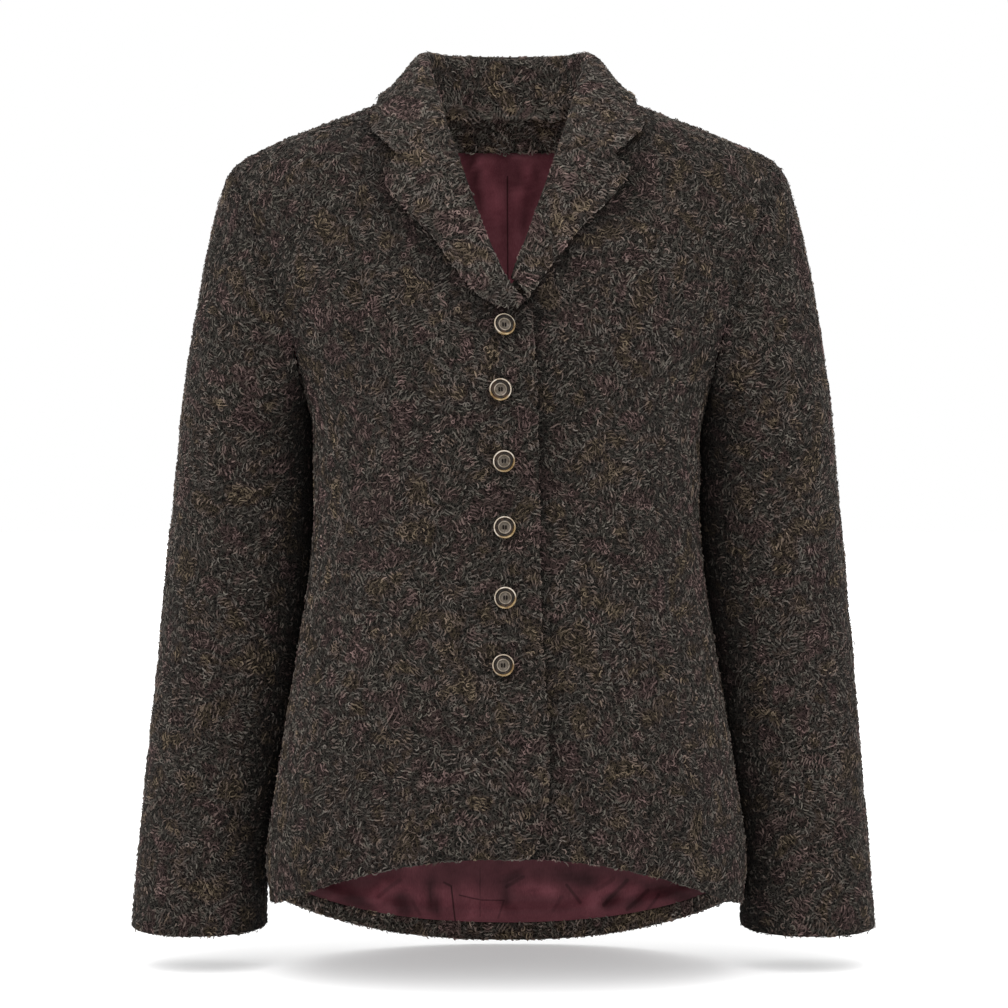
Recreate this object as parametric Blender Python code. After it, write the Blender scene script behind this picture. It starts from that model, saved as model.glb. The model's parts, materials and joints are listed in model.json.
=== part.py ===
"""A short single-breasted tweed jacket, filled out with no wearer.

Metres, +Z up. The front faces -Y and the wearer's right side is at -X. The origin is between the
shoulders, at the height of the base of the neck, on the plane of the side seams.

Every cloth piece is a wall between two grids of points. The points come from a few smooth
surfaces: the body, given by sections at stated heights, and the sleeves, collar and lapels that
start from it.
"""

import math

import bmesh
import bpy
import numpy as np
from mathutils import Matrix, Vector

# ---------------------------------------------------------------- driving dimensions

CLOTH = 0.003  # thickness of the tweed
SEAM = 0.0003  # gap between two pieces that are sewn together
SLEEVE_SEAM = 0.0005  # the same along the sleeves, whose walls also turn at the seam
LINING = 0.001
HEM_TURN_UP = 0.011  # height of the doubled cloth that shows below the lining
HEM_THICKNESS = 0.0058  # two layers of tweed
LAP_DROP = 0.0040  # how far the left front lies under the right one where they lap
COLLAR_CLOTH = 0.0036  # upper and under collar together
COLLAR_CLEARANCE = 0.0030  # under the edge of the collar's fall

SECTION_POWER = 2.3  # 2 is an ellipse; more is squarer

HEM_SIDE = -0.599
HEM_RISE_FRONT = 0.047
HEM_DROP_BACK = 0.0525
HEM_BLEND_TOP = -0.400  # above this height the rows of points are level
HEM_POWER_FRONT = 2.2
HEM_POWER_BACK = 1.4
NECK_SIDE = 0.0280
NECK_DIP_BACK = 0.0045
NECK_BLEND_FOOT = -0.020
FACING_FOOT = -0.0045
BREAK = -0.148  # height at which the front edge turns out into the lapel
UNDERARM = -0.205
SHOULDER_TIP = -0.033

# The body's level sections: height, half width, depth in front and behind of the side seams.
BODY = np.array(
    [
        (-0.660, 0.1800, 0.1260, 0.1240),
        (-0.599, 0.1830, 0.1250, 0.1220),
        (-0.570, 0.1860, 0.1245, 0.1200),
        (-0.5235, 0.1808, 0.1225, 0.1160),
        (-0.487, 0.1750, 0.1205, 0.1120),
        (-0.447, 0.1688, 0.1180, 0.1075),
        (-0.4025, 0.1615, 0.1155, 0.1020),
        (-0.367, 0.1560, 0.1140, 0.0980),
        (-0.303, 0.1495, 0.1145, 0.0950),
        (-0.257, 0.1490, 0.1190, 0.0985),
        (-0.234, 0.1508, 0.1220, 0.1020),
        (-0.205, 0.1580, 0.1250, 0.1070),
        (-0.175, 0.1745, 0.1245, 0.1110),
        (-0.150, 0.1870, 0.1220, 0.1125),
        (-0.120, 0.2010, 0.1170, 0.1125),
        (-0.090, 0.2125, 0.1090, 0.1105),
        (-0.065, 0.2190, 0.1010, 0.1070),
        (-0.045, 0.2195, 0.0935, 0.1020),
        (-0.038, 0.2170, 0.0905, 0.0995),
        (-0.033, 0.2135, 0.0885, 0.0980),
        (-0.0265, 0.2070, 0.0855, 0.0950),
        (-0.0205, 0.1960, 0.0825, 0.0925),
        (-0.0148, 0.1830, 0.0795, 0.0900),
        (-0.0035, 0.1560, 0.0735, 0.0850),
        (0.0100, 0.1205, 0.0650, 0.0785),
        (0.0180, 0.1000, 0.0585, 0.0745),
        (0.0280, 0.0720, 0.0480, 0.0690),
    ]
)

# The armhole's edge: height, distance from the middle in front and behind.
ARMHOLE = np.array(
    [
        (-0.205, 0.1580, 0.1580),
        (-0.203, 0.1578, 0.1580),
        (-0.194, 0.1580, 0.1590),
        (-0.172, 0.1615, 0.1645),
        (-0.148, 0.1690, 0.1720),
        (-0.118, 0.1790, 0.1808),
        (-0.090, 0.1890, 0.1895),
        (-0.065, 0.1985, 0.1985),
        (-0.045, 0.2070, 0.2070),
        (-0.037, 0.2110, 0.2110),
        (-0.033, 0.2135, 0.2135),
    ]
)

# The front's inner edge below the lapel: height, distance past the middle.
FRONT_EDGE = np.array(
    [
        (-0.556, 0.0040),
        (-0.554, 0.0100),
        (-0.548, 0.0180),
        (-0.537, 0.0240),
        (-0.518, 0.0285),
        (-0.490, 0.0308),
        (-0.460, 0.0308),
        (-0.420, 0.0276),
        (-0.350, 0.0246),
        (-0.290, 0.0240),
        (-0.200, 0.0215),
        (-0.148, 0.0182),
    ]
)

# The front's inner edge from the break up to the shoulder seam: height, distance from the middle.
# It stays a little outside the line on which the lapel rolls, so that the lapel can wrap it.
NECK_EDGE = np.array(
    [
        (-0.1480, -0.0182),
        (-0.1340, 0.0000),
        (-0.1180, 0.0100),
        (-0.0885, 0.0215),
        (-0.0545, 0.0335),
        (-0.0200, 0.0450),
        (-0.0020, 0.0515),
        (0.0050, 0.0565),
        (0.0150, 0.0640),
        (0.0240, 0.0700),
        (0.0280, 0.0718),
    ]
)

# Each lapel, from the collar down to the break: the roll line and the outer edge, as the distance
# from the middle and the height of each.
LAPEL_RIGHT = np.array(
    [
        (0.0460, -0.0022, 0.0911, -0.0431),
        (0.0400, -0.0200, 0.0878, -0.0570),
        (0.0343, -0.0370, 0.0792, -0.0689),
        (0.0285, -0.0545, 0.0672, -0.0820),
        (0.0225, -0.0715, 0.0552, -0.0945),
        (0.0165, -0.0885, 0.0445, -0.1090),
        (0.0105, -0.1030, 0.0345, -0.1230),
        (0.0045, -0.1165, 0.0240, -0.1355),
        (-0.0020, -0.1285, 0.0130, -0.1440),
        (-0.0085, -0.1370, 0.0020, -0.1475),
        (-0.0150, -0.1425, -0.0085, -0.1480),
    ]
)
LAPEL_LEFT = np.array(
    [
        (0.0460, -0.0022, 0.0911, -0.0431),
        (0.0400, -0.0200, 0.0856, -0.0550),
        (0.0343, -0.0370, 0.0760, -0.0665),
        (0.0285, -0.0545, 0.0640, -0.0785),
        (0.0225, -0.0715, 0.0520, -0.0910),
        (0.0165, -0.0885, 0.0412, -0.1045),
        (0.0120, -0.1005, 0.0322, -0.1165),
        (0.0075, -0.1110, 0.0245, -0.1270),
        (0.0050, -0.1180, 0.0200, -0.1340),
        (0.0032, -0.1240, 0.0158, -0.1396),
    ]
)

# Section across a lapel: a fixed distance from the roll line, a share of the lapel's width, and
# the heights of its outer and inner faces above the front. It wraps the front's edge and lies down.
LAPEL_SECTION = np.array(
    [
        (0.0000, 0.00, 0.0028, 0.00, -0.0030, -0.0030),
        (0.0000, 0.00, 0.0028, 0.00, 0.0012, 0.0008),
        (0.0012, 0.00, 0.0033, 0.00, 0.0040, 0.0018),
        (0.0045, 0.00, 0.0050, 0.00, 0.0054, 0.0024),
        (0.0030, 0.30, 0.0030, 0.30, 0.0056, 0.0026),
        (0.0000, 0.70, 0.0000, 0.70, 0.0050, 0.0020),
        (0.0000, 1.00, 0.0000, 1.00, 0.0045, 0.0014),
    ]
)

# The collar, from the middle of the back to its front end: the foot of the stand and the crest of
# the roll as X, Y, Z, then the edge of the fall as a distance from the middle, a height, a side
# of the shoulder seam (1 behind, -1 in front) and how full the fall is.
COLLAR = np.array(
    [
        (0.0000, 0.0632, 0.0245, 0.0000, 0.0720, 0.0690, 0.0000, 0.0020, 1, 1.0),
        (0.0240, 0.0605, 0.0248, 0.0265, 0.0680, 0.0688, 0.0370, 0.0030, 1, 1.0),
        (0.0450, 0.0485, 0.0256, 0.0465, 0.0545, 0.0672, 0.0700, 0.0060, 1, 1.0),
        (0.0600, 0.0290, 0.0268, 0.0590, 0.0320, 0.0650, 0.0900, 0.0120, 1, 1.0),
        (0.0655, 0.0090, 0.0275, 0.0632, 0.0100, 0.0620, 0.0965, 0.0180, 1, 1.0),
        (0.0640, -0.0120, 0.0240, 0.0637, -0.0120, 0.0560, 0.0960, 0.0165, -1, 1.0),
        (0.0590, -0.0320, 0.0160, 0.0620, -0.0320, 0.0450, 0.0980, 0.0050, -1, 0.9),
        (0.0535, -0.0470, 0.0070, 0.0583, -0.0470, 0.0300, 0.1014, -0.0102, -1, 0.7),
        (0.0490, -0.0575, 0.0000, 0.0530, -0.0590, 0.0150, 0.0910, -0.0220, -1, 0.5),
    ]
)
NOTCH_SHARE = 0.745  # the collar's front end meets this much of the lapel's top edge

# Section of the collar's front end: distance from the roll line and height above the front of the
# outer face, the same two for the inner face, and the share of the lapel's width of both.
COLLAR_END = np.array(
    [
        (0.0000, -0.0030, 0.0028, -0.0030, 0.00),
        (0.0000, -0.0012, 0.0028, -0.0012, 0.00),
        (0.0000, 0.0006, 0.0028, 0.0004, 0.00),
        (0.0006, 0.0026, 0.0032, 0.0014, 0.00),
        (0.0022, 0.0046, 0.0040, 0.0020, 0.00),
        (0.0055, 0.0056, 0.0060, 0.0024, 0.00),
        (0.0000, 0.0058, 0.0000, 0.0026, 0.25),
        (0.0000, 0.0056, 0.0000, 0.0024, 0.42),
        (0.0000, 0.0052, 0.0000, 0.0020, 0.60),
        (0.0000, 0.0050, 0.0000, 0.0018, NOTCH_SHARE),
    ]
)

# A sleeve below the armhole: height, outer and inner distance from the middle, half depth and
# how far behind the side seams its middle is.
SLEEVE = np.array(
    [
        (-0.6225, 0.2925, 0.1868, 0.0420, 0.022),
        (-0.5700, 0.2886, 0.1862, 0.0440, 0.026),
        (-0.5235, 0.2850, 0.1800, 0.0465, 0.030),
        (-0.4870, 0.2821, 0.1735, 0.0490, 0.033),
        (-0.4470, 0.2785, 0.1665, 0.0520, 0.036),
        (-0.4025, 0.2746, 0.1590, 0.0555, 0.038),
        (-0.3670, 0.2712, 0.1537, 0.0585, 0.038),
        (-0.3340, 0.2682, 0.1512, 0.0615, 0.036),
        (-0.2890, 0.2626, 0.1495, 0.0640, 0.029),
        (-0.2450, 0.2575, 0.1525, 0.0640, 0.014),
    ]
)
CUFF, SLEEVE_TOP = SLEEVE[0, 0], SLEEVE[-1, 0]
SLEEVE_LEAN = 0.0024  # the right cuff hangs this much further out, the left one less
CUFF_DIP = 0.0035  # the front of the cuff is this much lower
CAP_SHARES = (0.0, 0.04, 0.12, 0.24, 0.38, 0.54, 0.72, 0.88, 1.0)
CAP_EASE = 0.050  # how far the cap runs on along the shoulder before it turns down
SEAM_HEIGHT_FRONT = -0.172  # armhole height at which the sleeve's two seams start
SEAM_HEIGHT_BACK = -0.118
FOLDED_SHARE = 0.42  # the lower part of the armhole at which the sleeve folds back down

BODY_ROWS_BELOW = (-0.560, -0.525, -0.485, -0.442, -0.400, -0.350, -0.300)
BODY_ROWS_CHEST = (-0.260, -0.228)
ARMHOLE_ROWS = (
    -0.205, -0.203, -0.194, -0.172, -0.148, -0.134, -0.118, -0.090, -0.065, -0.045, -0.037, -0.033
)
SHOULDER_ROWS = (-0.0205, -0.0045, 0.0100, 0.0190, 0.0280)
FRONT_COLUMNS = 8
BACK_COLUMNS = 14

BUTTON_RADIUS = 0.0082
BUTTON_SHANK_RADIUS = 0.0016
BUTTON_CLEARANCE = 0.0022  # between the cloth and the back of a button
BUTTON_SEGMENTS = 22
# Distance from the middle, height, and the lean of each button sideways and up, in degrees.
BUTTONS = np.array(
    [
        (-0.0022, -0.1604, 11.0, -6.0),
        (-0.0044, -0.2078, -3.0, 2.0),
        (-0.0022, -0.2596, 5.0, 3.0),
        (-0.0016, -0.3088, 2.0, -3.0),
        (-0.0009, -0.3603, -3.0, 4.0),
        (-0.0027, -0.4103, 4.0, -4.0),
    ]
)
# Half of a button's section, from the middle of its face round the rim to its back: radius and
# height above the back, both as shares of the button's radius.
BUTTON_PROFILE = np.array(
    [
        (0.00, 0.17),
        (0.36, 0.20),
        (0.46, 0.32),
        (0.56, 0.31),
        (0.66, 0.22),
        (0.78, 0.24),
        (0.86, 0.40),
        (0.96, 0.38),
        (1.00, 0.26),
        (0.90, 0.06),
        (0.60, 0.00),
        (0.20, 0.00),
    ]
)

TWEED = (0.060, 0.048, 0.042)
TWEED_INSIDE = (0.052, 0.043, 0.038)
SATIN = (0.085, 0.014, 0.024)
HORN = (0.110, 0.060, 0.035)


# ---------------------------------------------------------------- smooth tables


def smooth_row(table, at):
    """The table's other columns at one value of its first column, with no overshoot."""
    keys = table[:, 0]
    at = min(max(at, keys[0]), keys[-1])
    low = int(min(max(np.searchsorted(keys, at) - 1, 0), len(keys) - 2))
    steps = np.diff(keys)
    slopes = np.diff(table[:, 1:], axis=0) / steps[:, None]

    def slope_at(index):
        if index == 0:
            return slopes[0]
        if index == len(keys) - 1:
            return slopes[-1]
        before, after = slopes[index - 1], slopes[index]
        same_way = before * after > 0
        total = np.where(same_way, before + after, 1.0)
        return np.where(same_way, 2 * before * after / total, 0.0)

    width = steps[low]
    share = (at - keys[low]) / width
    rise = share * share * (3 - 2 * share)
    start = share * (1 - share) ** 2 * width
    end = -share * share * (1 - share) * width
    values = table[low, 1:] * (1 - rise) + table[low + 1, 1:] * rise
    return values + slope_at(low) * start + slope_at(low + 1) * end


def ease(share):
    share = min(max(share, 0.0), 1.0)
    return share * share * (3 - 2 * share)


def unit(vector):
    return vector / np.linalg.norm(vector)


# ---------------------------------------------------------------- the body's surface


def body_point(facing, across, height):
    """The outside of the body at a distance from the middle. facing is -1 in front, 1 behind."""
    half_width, front, back = smooth_row(BODY, height)
    depth = front if facing < 0 else back
    share = min(abs(across) / half_width, 1.0)
    run = depth * (1 - share**SECTION_POWER) ** (1 / SECTION_POWER)
    return np.array([across, facing * (SEAM / 2 + run), height])


def body_normal(facing, across, height):
    half_width, front, back = smooth_row(BODY, height)
    depth = front if facing < 0 else back
    step = 0.002
    above = smooth_row(BODY, height + step)
    below = smooth_row(BODY, height - step)
    width_slope = (above[0] - below[0]) / (2 * step)
    column = 1 if facing < 0 else 2
    depth_slope = (above[column] - below[column]) / (2 * step)
    share = min(abs(across) / half_width, 1.0)
    run = (1 - share**SECTION_POWER) ** (1 / SECTION_POWER)
    power = SECTION_POWER
    normal = np.array(
        [
            math.copysign(share ** (power - 1) / half_width, across),
            facing * run ** (power - 1) / depth,
            -(share**power) / half_width * width_slope - run**power / depth * depth_slope,
        ]
    )
    return unit(normal)


def turn_to_across(turn, height):
    """Distance from the middle at a turn of -90 to 90 degrees round the section."""
    half_width = smooth_row(BODY, height)[0]
    sine = math.sin(math.radians(turn))
    return math.copysign(half_width * abs(sine) ** (2 / SECTION_POWER), sine)


def across_to_turn(across, height):
    half_width = smooth_row(BODY, height)[0]
    share = min(abs(across) / half_width, 1.0)
    return math.copysign(math.degrees(math.asin(share ** (SECTION_POWER / 2))), across)


def armhole_turn(facing, height):
    """Where a panel ends at the side: 90 degrees at the side and shoulder seams."""
    if not UNDERARM < height < SHOULDER_TIP:
        return 90.0
    across = smooth_row(ARMHOLE, height)[0 if facing < 0 else 1]
    return across_to_turn(across, height)


def bent_height(facing, turn, level):
    """A level row's true height: the lowest rows follow the hem and the top one the neckline."""
    cosine = abs(math.cos(math.radians(turn)))
    to_hem = min(max((HEM_BLEND_TOP - level) / (HEM_BLEND_TOP - HEM_SIDE), 0.0), 1.0)
    if facing < 0:
        return level + to_hem * HEM_RISE_FRONT * cosine**HEM_POWER_FRONT
    to_neck = min(max((level - NECK_BLEND_FOOT) / (NECK_SIDE - NECK_BLEND_FOOT), 0.0), 1.0)
    hem = to_hem * HEM_DROP_BACK * cosine**HEM_POWER_BACK
    return level - hem - to_neck**2 * NECK_DIP_BACK * cosine**2


def body_levels():
    hem = (HEM_SIDE, HEM_SIDE + HEM_TURN_UP)
    return hem + BODY_ROWS_BELOW + BODY_ROWS_CHEST + ARMHOLE_ROWS + SHOULDER_ROWS


# ---------------------------------------------------------------- walls from grids


def material_of(name, colour, roughness, metallic=0.0):
    material = bpy.data.materials.new(name)
    material.use_nodes = True
    shader = material.node_tree.nodes["Principled BSDF"]
    shader.inputs["Base Color"].default_value = (*colour, 1.0)
    shader.inputs["Roughness"].default_value = roughness
    shader.inputs["Metallic"].default_value = metallic
    material.diffuse_color = (*colour, 1.0)
    return material


def add_object(name, mesh, colour, roughness):
    mesh.materials.append(material_of(name, colour, roughness))
    made = bpy.data.objects.new(name, mesh)
    bpy.context.scene.collection.objects.link(made)
    return made


def wall(name, outer, inner, colour, roughness=0.9):
    """A closed wall between two grids of points of the same size."""
    outer, inner = np.asarray(outer), np.asarray(inner)
    rows, columns = outer.shape[:2]
    shape = bmesh.new()
    faces_of = []
    for grid in (outer, inner):
        faces_of.append([[shape.verts.new(point) for point in row] for row in grid])
    out, inn = faces_of
    for row in range(rows - 1):
        for column in range(columns - 1):
            corners = (
                (row, column),
                (row, column + 1),
                (row + 1, column + 1),
                (row + 1, column),
            )
            first, second, third, fourth = (out[r][c] for r, c in corners)
            shape.faces.new((first, second, third))
            shape.faces.new((first, third, fourth))
            first, second, third, fourth = (inn[r][c] for r, c in corners)
            shape.faces.new((third, second, first))
            shape.faces.new((fourth, third, first))
    around = [(0, column) for column in range(columns)]
    around += [(row, columns - 1) for row in range(1, rows)]
    around += [(rows - 1, column) for column in range(columns - 2, -1, -1)]
    around += [(row, 0) for row in range(rows - 2, 0, -1)]
    for (r, c), (next_r, next_c) in zip(around, around[1:] + around[:1]):
        shape.faces.new((out[next_r][next_c], out[r][c], inn[r][c], inn[next_r][next_c]))
    if shape.calc_volume(signed=True) < 0:
        bmesh.ops.reverse_faces(shape, faces=shape.faces[:])
    mesh = bpy.data.meshes.new(name)
    shape.to_mesh(mesh)
    shape.free()
    mesh.shade_smooth()
    mesh.set_sharp_from_angle(angle=math.radians(50))
    return add_object(name, mesh, colour, roughness)


def pulled_in(grid, edge, distance):
    """The grid with one edge moved towards the next line of points."""
    grid = np.array(grid)
    lines = {
        "first row": (grid[0], grid[1]),
        "first column": (grid[:, 0], grid[:, 1]),
        "last column": (grid[:, -1], grid[:, -2]),
    }
    line, beside = lines[edge]
    way = beside - line
    line += distance * way / np.linalg.norm(way, axis=1)[:, None]
    return grid


# ---------------------------------------------------------------- fronts


def lap_drop(side, across, height):
    """How far the left front is let in where the right one covers it."""
    if side < 0:
        return 0.0
    down = ease((-0.080 - height) / 0.035)
    return -LAP_DROP * down * (1 - ease((across - 0.036) / 0.026))


def front_point(side, across, height, above):
    """A point over a front, at a distance from the middle counted towards the front's own side."""
    across_body = side * across
    point = body_point(-1, across_body, height)
    normal = body_normal(-1, across_body, height)
    return point + normal * (above + lap_drop(side, across, height))


def inner_edge(level):
    """Where a front's row starts: past the middle below the break, then along the neckline."""
    height = bent_height(-1, 0.0, level)
    if height <= BREAK:
        return -smooth_row(FRONT_EDGE, height)[0]
    return smooth_row(NECK_EDGE, height)[0]


def front_levels():
    return body_levels()[:-1] + (NECK_SIDE - 0.0015,)


def front(side, name):
    outer, inner = [], []
    for level in front_levels():
        start = inner_edge(level)
        first = across_to_turn(start, bent_height(-1, 0.0, level))
        last = armhole_turn(-1, level)
        outer_row, inner_row = [], []
        for share in np.linspace(0, 1, FRONT_COLUMNS):
            turn = first + (last - first) * share
            height = bent_height(-1, turn, level)
            across = turn_to_across(turn, height)
            outer_row.append(front_point(side, across, height, 0.0))
            inner_row.append(front_point(side, across, height, -CLOTH))
        outer.append(outer_row)
        inner.append(inner_row)
    return wall(name, outer, inner, TWEED)


# ---------------------------------------------------------------- back, facing and lining


def back_grid(levels, depths):
    """Rows of points under the back's outside, each row at its own depth."""
    grid = []
    for level, depth in zip(levels, depths):
        last = armhole_turn(1, level)
        row = []
        for share in np.linspace(-1, 1, BACK_COLUMNS + 1):
            turn = last * share
            height = bent_height(1, turn, level)
            across = turn_to_across(turn, height)
            row.append(body_point(1, across, height) - depth * body_normal(1, across, height))
        grid.append(row)
    return grid


def back():
    levels = body_levels()
    turned_up = (HEM_SIDE, HEM_SIDE + HEM_TURN_UP, HEM_SIDE + HEM_TURN_UP + 0.001)
    levels = turned_up + levels[2:]
    inside = (HEM_THICKNESS, HEM_THICKNESS) + (CLOTH,) * (len(levels) - 2)
    wall("back", back_grid(levels, (0,) * len(levels)), back_grid(levels, inside), TWEED)


def back_neck_facing():
    levels = tuple(level for level in body_levels() if level > FACING_FOOT)
    levels = (FACING_FOOT + SEAM,) + levels
    depth = CLOTH + SEAM
    outer = back_grid(levels, (depth,) * len(levels))
    inner = back_grid(levels, (depth + CLOTH,) * len(levels))
    wall("back_neck_facing", outer, inner, TWEED_INSIDE)


def back_lining():
    foot = HEM_SIDE + HEM_TURN_UP + 0.001
    levels = (foot,) + tuple(level for level in body_levels() if foot < level <= FACING_FOOT)
    depth = CLOTH + SEAM
    outer = back_grid(levels, (depth,) * len(levels))
    inner = back_grid(levels, (depth + LINING,) * len(levels))
    outer, inner = (pulled_in(grid, "first row", 0.002) for grid in (outer, inner))
    wall("lining_back", outer, inner, SATIN, 0.35)


# ---------------------------------------------------------------- lapels and collar


def lapel(side, name, rows):
    outer, inner = [], []
    for roll_across, roll_height, edge_across, edge_height in rows:
        width = math.hypot(edge_across - roll_across, edge_height - roll_height)
        room = min(1.0, width / 0.022)
        outer_row, inner_row = [], []
        for near_out, share_out, near_in, share_in, over_out, over_in in LAPEL_SECTION:
            for near, share, over, row in (
                (near_out, share_out, over_out, outer_row),
                (near_in, share_in, over_in, inner_row),
            ):
                run = share + near * room / width
                across = roll_across + (edge_across - roll_across) * run
                height = roll_height + (edge_height - roll_height) * run
                row.append(front_point(side, across, height, over))
        outer.append(outer_row)
        inner.append(inner_row)
    outer, inner = (pulled_in(grid, "first row", SEAM / 2) for grid in (outer, inner))
    return wall(name, outer, inner, TWEED)


def bezier(start, first, second, end, share):
    rest = 1 - share
    return (
        start * rest**3
        + first * 3 * rest * rest * share
        + second * 3 * rest * share * share
        + end * share**3
    )


def collar_section(foot, crest, edge, edge_normal, fullness):
    """Points over the collar's outside from the foot of the stand over the roll to the edge."""
    up = np.array([0.0, 0.0, 1.0])
    outward = edge - foot
    outward[2] = 0.0
    outward = unit(outward)
    roll = 0.0085 * fullness
    stand_height = crest[2] - foot[2]
    points = []
    for share in (0.0, 0.3, 0.6, 0.82, 1.0):
        points.append(bezier(foot, foot + up * stand_height * 0.7, crest - outward * roll, crest, share))
    downhill = unit(np.cross(np.cross(edge_normal, crest - edge), edge_normal))
    fall = np.linalg.norm(edge - crest)
    for share in (0.16, 0.34, 0.55, 0.78, 1.0):
        along = bezier(crest, crest + outward * roll * 1.4, edge + downhill * fall * 0.38, edge, share)
        points.append(along)
    return points


def normals_of(grid):
    """Unit normals of a grid of points, from its rows and columns."""
    grid = np.asarray(grid)
    down = np.gradient(grid, axis=0)
    along = np.gradient(grid, axis=1)
    normals = np.cross(down, along)
    return normals / np.linalg.norm(normals, axis=2)[:, :, None]


def collar():
    sections = []
    for foot_x, foot_y, foot_z, crest_x, crest_y, crest_z, across, height, facing, fullness in COLLAR:
        normal = body_normal(facing, across, height)
        clearance = COLLAR_CLOTH + COLLAR_CLEARANCE
        edge = body_point(facing, across, height) + normal * clearance
        foot = np.array([foot_x, foot_y, foot_z])
        crest = np.array([crest_x, crest_y, crest_z])
        sections.append(collar_section(foot, crest, edge, normal, fullness))
    end_outer, end_inner = collar_end()
    sections.append(end_outer)
    half = np.array(sections)
    inner_half = half - normals_of(half) * COLLAR_CLOTH
    inner_half[-1] = end_inner
    mirror = np.array([-1.0, 1.0, 1.0])
    outer = np.concatenate([half[::-1], half[1:] * mirror])
    inner = np.concatenate([inner_half[::-1], inner_half[1:] * mirror])
    inner[:, :, 0] = np.where(np.abs(outer[:, :, 0]) < 1e-9, 0.0, inner[:, :, 0])
    return wall("collar", outer, inner, TWEED)


def collar_end():
    """The two faces of the collar's front end, which meets the upper edge of the lapel."""
    roll_across, roll_height, edge_across, edge_height = LAPEL_RIGHT[0]
    width = math.hypot(edge_across - roll_across, edge_height - roll_height)
    faces = []
    for near, above in ((0, 1), (2, 3)):
        points = []
        for row in COLLAR_END:
            run = row[4] + row[near] / width
            across = roll_across + (edge_across - roll_across) * run
            height = roll_height + (edge_height - roll_height) * run
            points.append(front_point(1, across, height, row[above]) + np.array([0.0, 0.0, SEAM]))
        faces.append(points)
    return faces


# ---------------------------------------------------------------- sleeves


def armhole_loop(side):
    """The armhole's edge from the shoulder tip down the front to the underarm and up the back.

    Each entry is the point, the body's normal there and the way into the hole along the cloth.
    """
    heights = ARMHOLE_ROWS[::-1]
    stops = [(-1, height) for height in heights] + [(1, height) for height in heights[-2:0:-1]]
    points, normals = [], []
    for facing, height in stops:
        half_width = smooth_row(BODY, height)[0]
        at_seam = height in (UNDERARM, SHOULDER_TIP)
        across = half_width if at_seam else smooth_row(ARMHOLE, height)[0 if facing < 0 else 1]
        point = body_point(facing, side * across, height)
        if at_seam:
            point[1] = 0.0
        points.append(point)
        normals.append(body_normal(facing, side * across, height))
    points, normals = np.array(points), np.array(normals)
    along = np.roll(points, -1, axis=0) - np.roll(points, 1, axis=0)
    into = np.cross(normals, along) * side
    into /= np.linalg.norm(into, axis=1)[:, None]
    return points, normals, into


def sleeve_ring(side, height, turns):
    """One level ring of the sleeve. A turn of 0 is outermost and -90 is in front."""
    outer, inner, half_depth, behind = smooth_row(SLEEVE, height)
    middle, half = (outer + inner) / 2, (outer - inner) / 2
    lean = -side * SLEEVE_LEAN * ease((SLEEVE_TOP - height) / (SLEEVE_TOP - CUFF))
    ring = []
    for turn in turns:
        cosine, sine = math.cos(turn), math.sin(turn)
        power = 2 / 2.15
        x = middle + lean + half * math.copysign(abs(cosine) ** power, cosine)
        y = behind + half_depth * math.copysign(abs(sine) ** power, sine)
        ring.append((side * x, y, height))
    return np.array(ring)


def sleeve_grid(side):
    """Rings of points down the sleeve, as the outer and inner faces of its wall."""
    points, normals, into = armhole_loop(side)
    lengths = np.linalg.norm(np.roll(points, -1, axis=0) - points, axis=1)
    run = np.concatenate([[0.0], np.cumsum(lengths)])
    turns = -2 * math.pi * run[:-1] / run[-1]
    lowness = (points[:, 2] - UNDERARM) / (SHOULDER_TIP - UNDERARM)
    fold = np.array([math.pi * (1 - ease(low / FOLDED_SHARE)) for low in lowness])[:, None]
    leave = into * np.cos(fold) + normals * np.sin(fold)
    thick_way = normals * np.cos(fold) - into * np.sin(fold)
    start = points + SLEEVE_SEAM * (into * np.cos(fold / 2) + normals * np.sin(fold / 2))
    below = sleeve_ring(side, SLEEVE_TOP, turns)
    lower = sleeve_ring(side, SLEEVE_TOP - 0.02, turns)
    down = (lower - below) / np.linalg.norm(lower - below, axis=1)[:, None]
    reach = np.linalg.norm(below - start, axis=1)[:, None]
    first_pull = np.array([CAP_EASE * ease((low - 0.55) / 0.4) + 0.012 for low in lowness])[:, None]
    rings = []
    for share in CAP_SHARES:
        rise = share * share * (3 - 2 * share)
        ring = start * (1 - rise) + below * rise
        ring += leave * first_pull * share * (1 - share) ** 2
        ring -= down * reach * 0.9 * share * share * (1 - share)
        rings.append(ring)
    for height in SLEEVE[-2::-1, 0]:
        rings.append(sleeve_ring(side, height, turns))
    rings[-1][:, 2] += CUFF_DIP * np.sin(turns)
    grid = np.array(rings)
    wrapped = np.concatenate([grid[:, -1:], grid, grid[:, :1]], axis=1)
    facing_out = normals_of(wrapped)[:, 1:-1]
    if side * (facing_out[-1, 0, 0]) < 0:
        facing_out = -facing_out
    facing_out[0] = thick_way
    inner = grid - CLOTH * facing_out
    return grid, inner


def sleeve(side, word):
    """The top sleeve takes the columns over the shoulder, the under sleeve those below."""
    outer, inner = sleeve_grid(side)
    columns = outer.shape[1]
    heights = ARMHOLE_ROWS[::-1]
    front_seam = heights.index(SEAM_HEIGHT_FRONT)
    back_seam = columns - heights.index(SEAM_HEIGHT_BACK)
    under = list(range(front_seam, back_seam + 1))
    top = list(range(back_seam, columns)) + list(range(0, front_seam + 1))
    for name, chosen in (("sleeve_top_" + word, top), ("sleeve_under_" + word, under)):
        faces = []
        for grid in (outer, inner):
            piece = grid[:, chosen]
            piece = pulled_in(piece, "first column", SLEEVE_SEAM / 2)
            faces.append(pulled_in(piece, "last column", SLEEVE_SEAM / 2))
        wall(name, faces[0], faces[1], TWEED)


# ---------------------------------------------------------------- buttons


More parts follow.
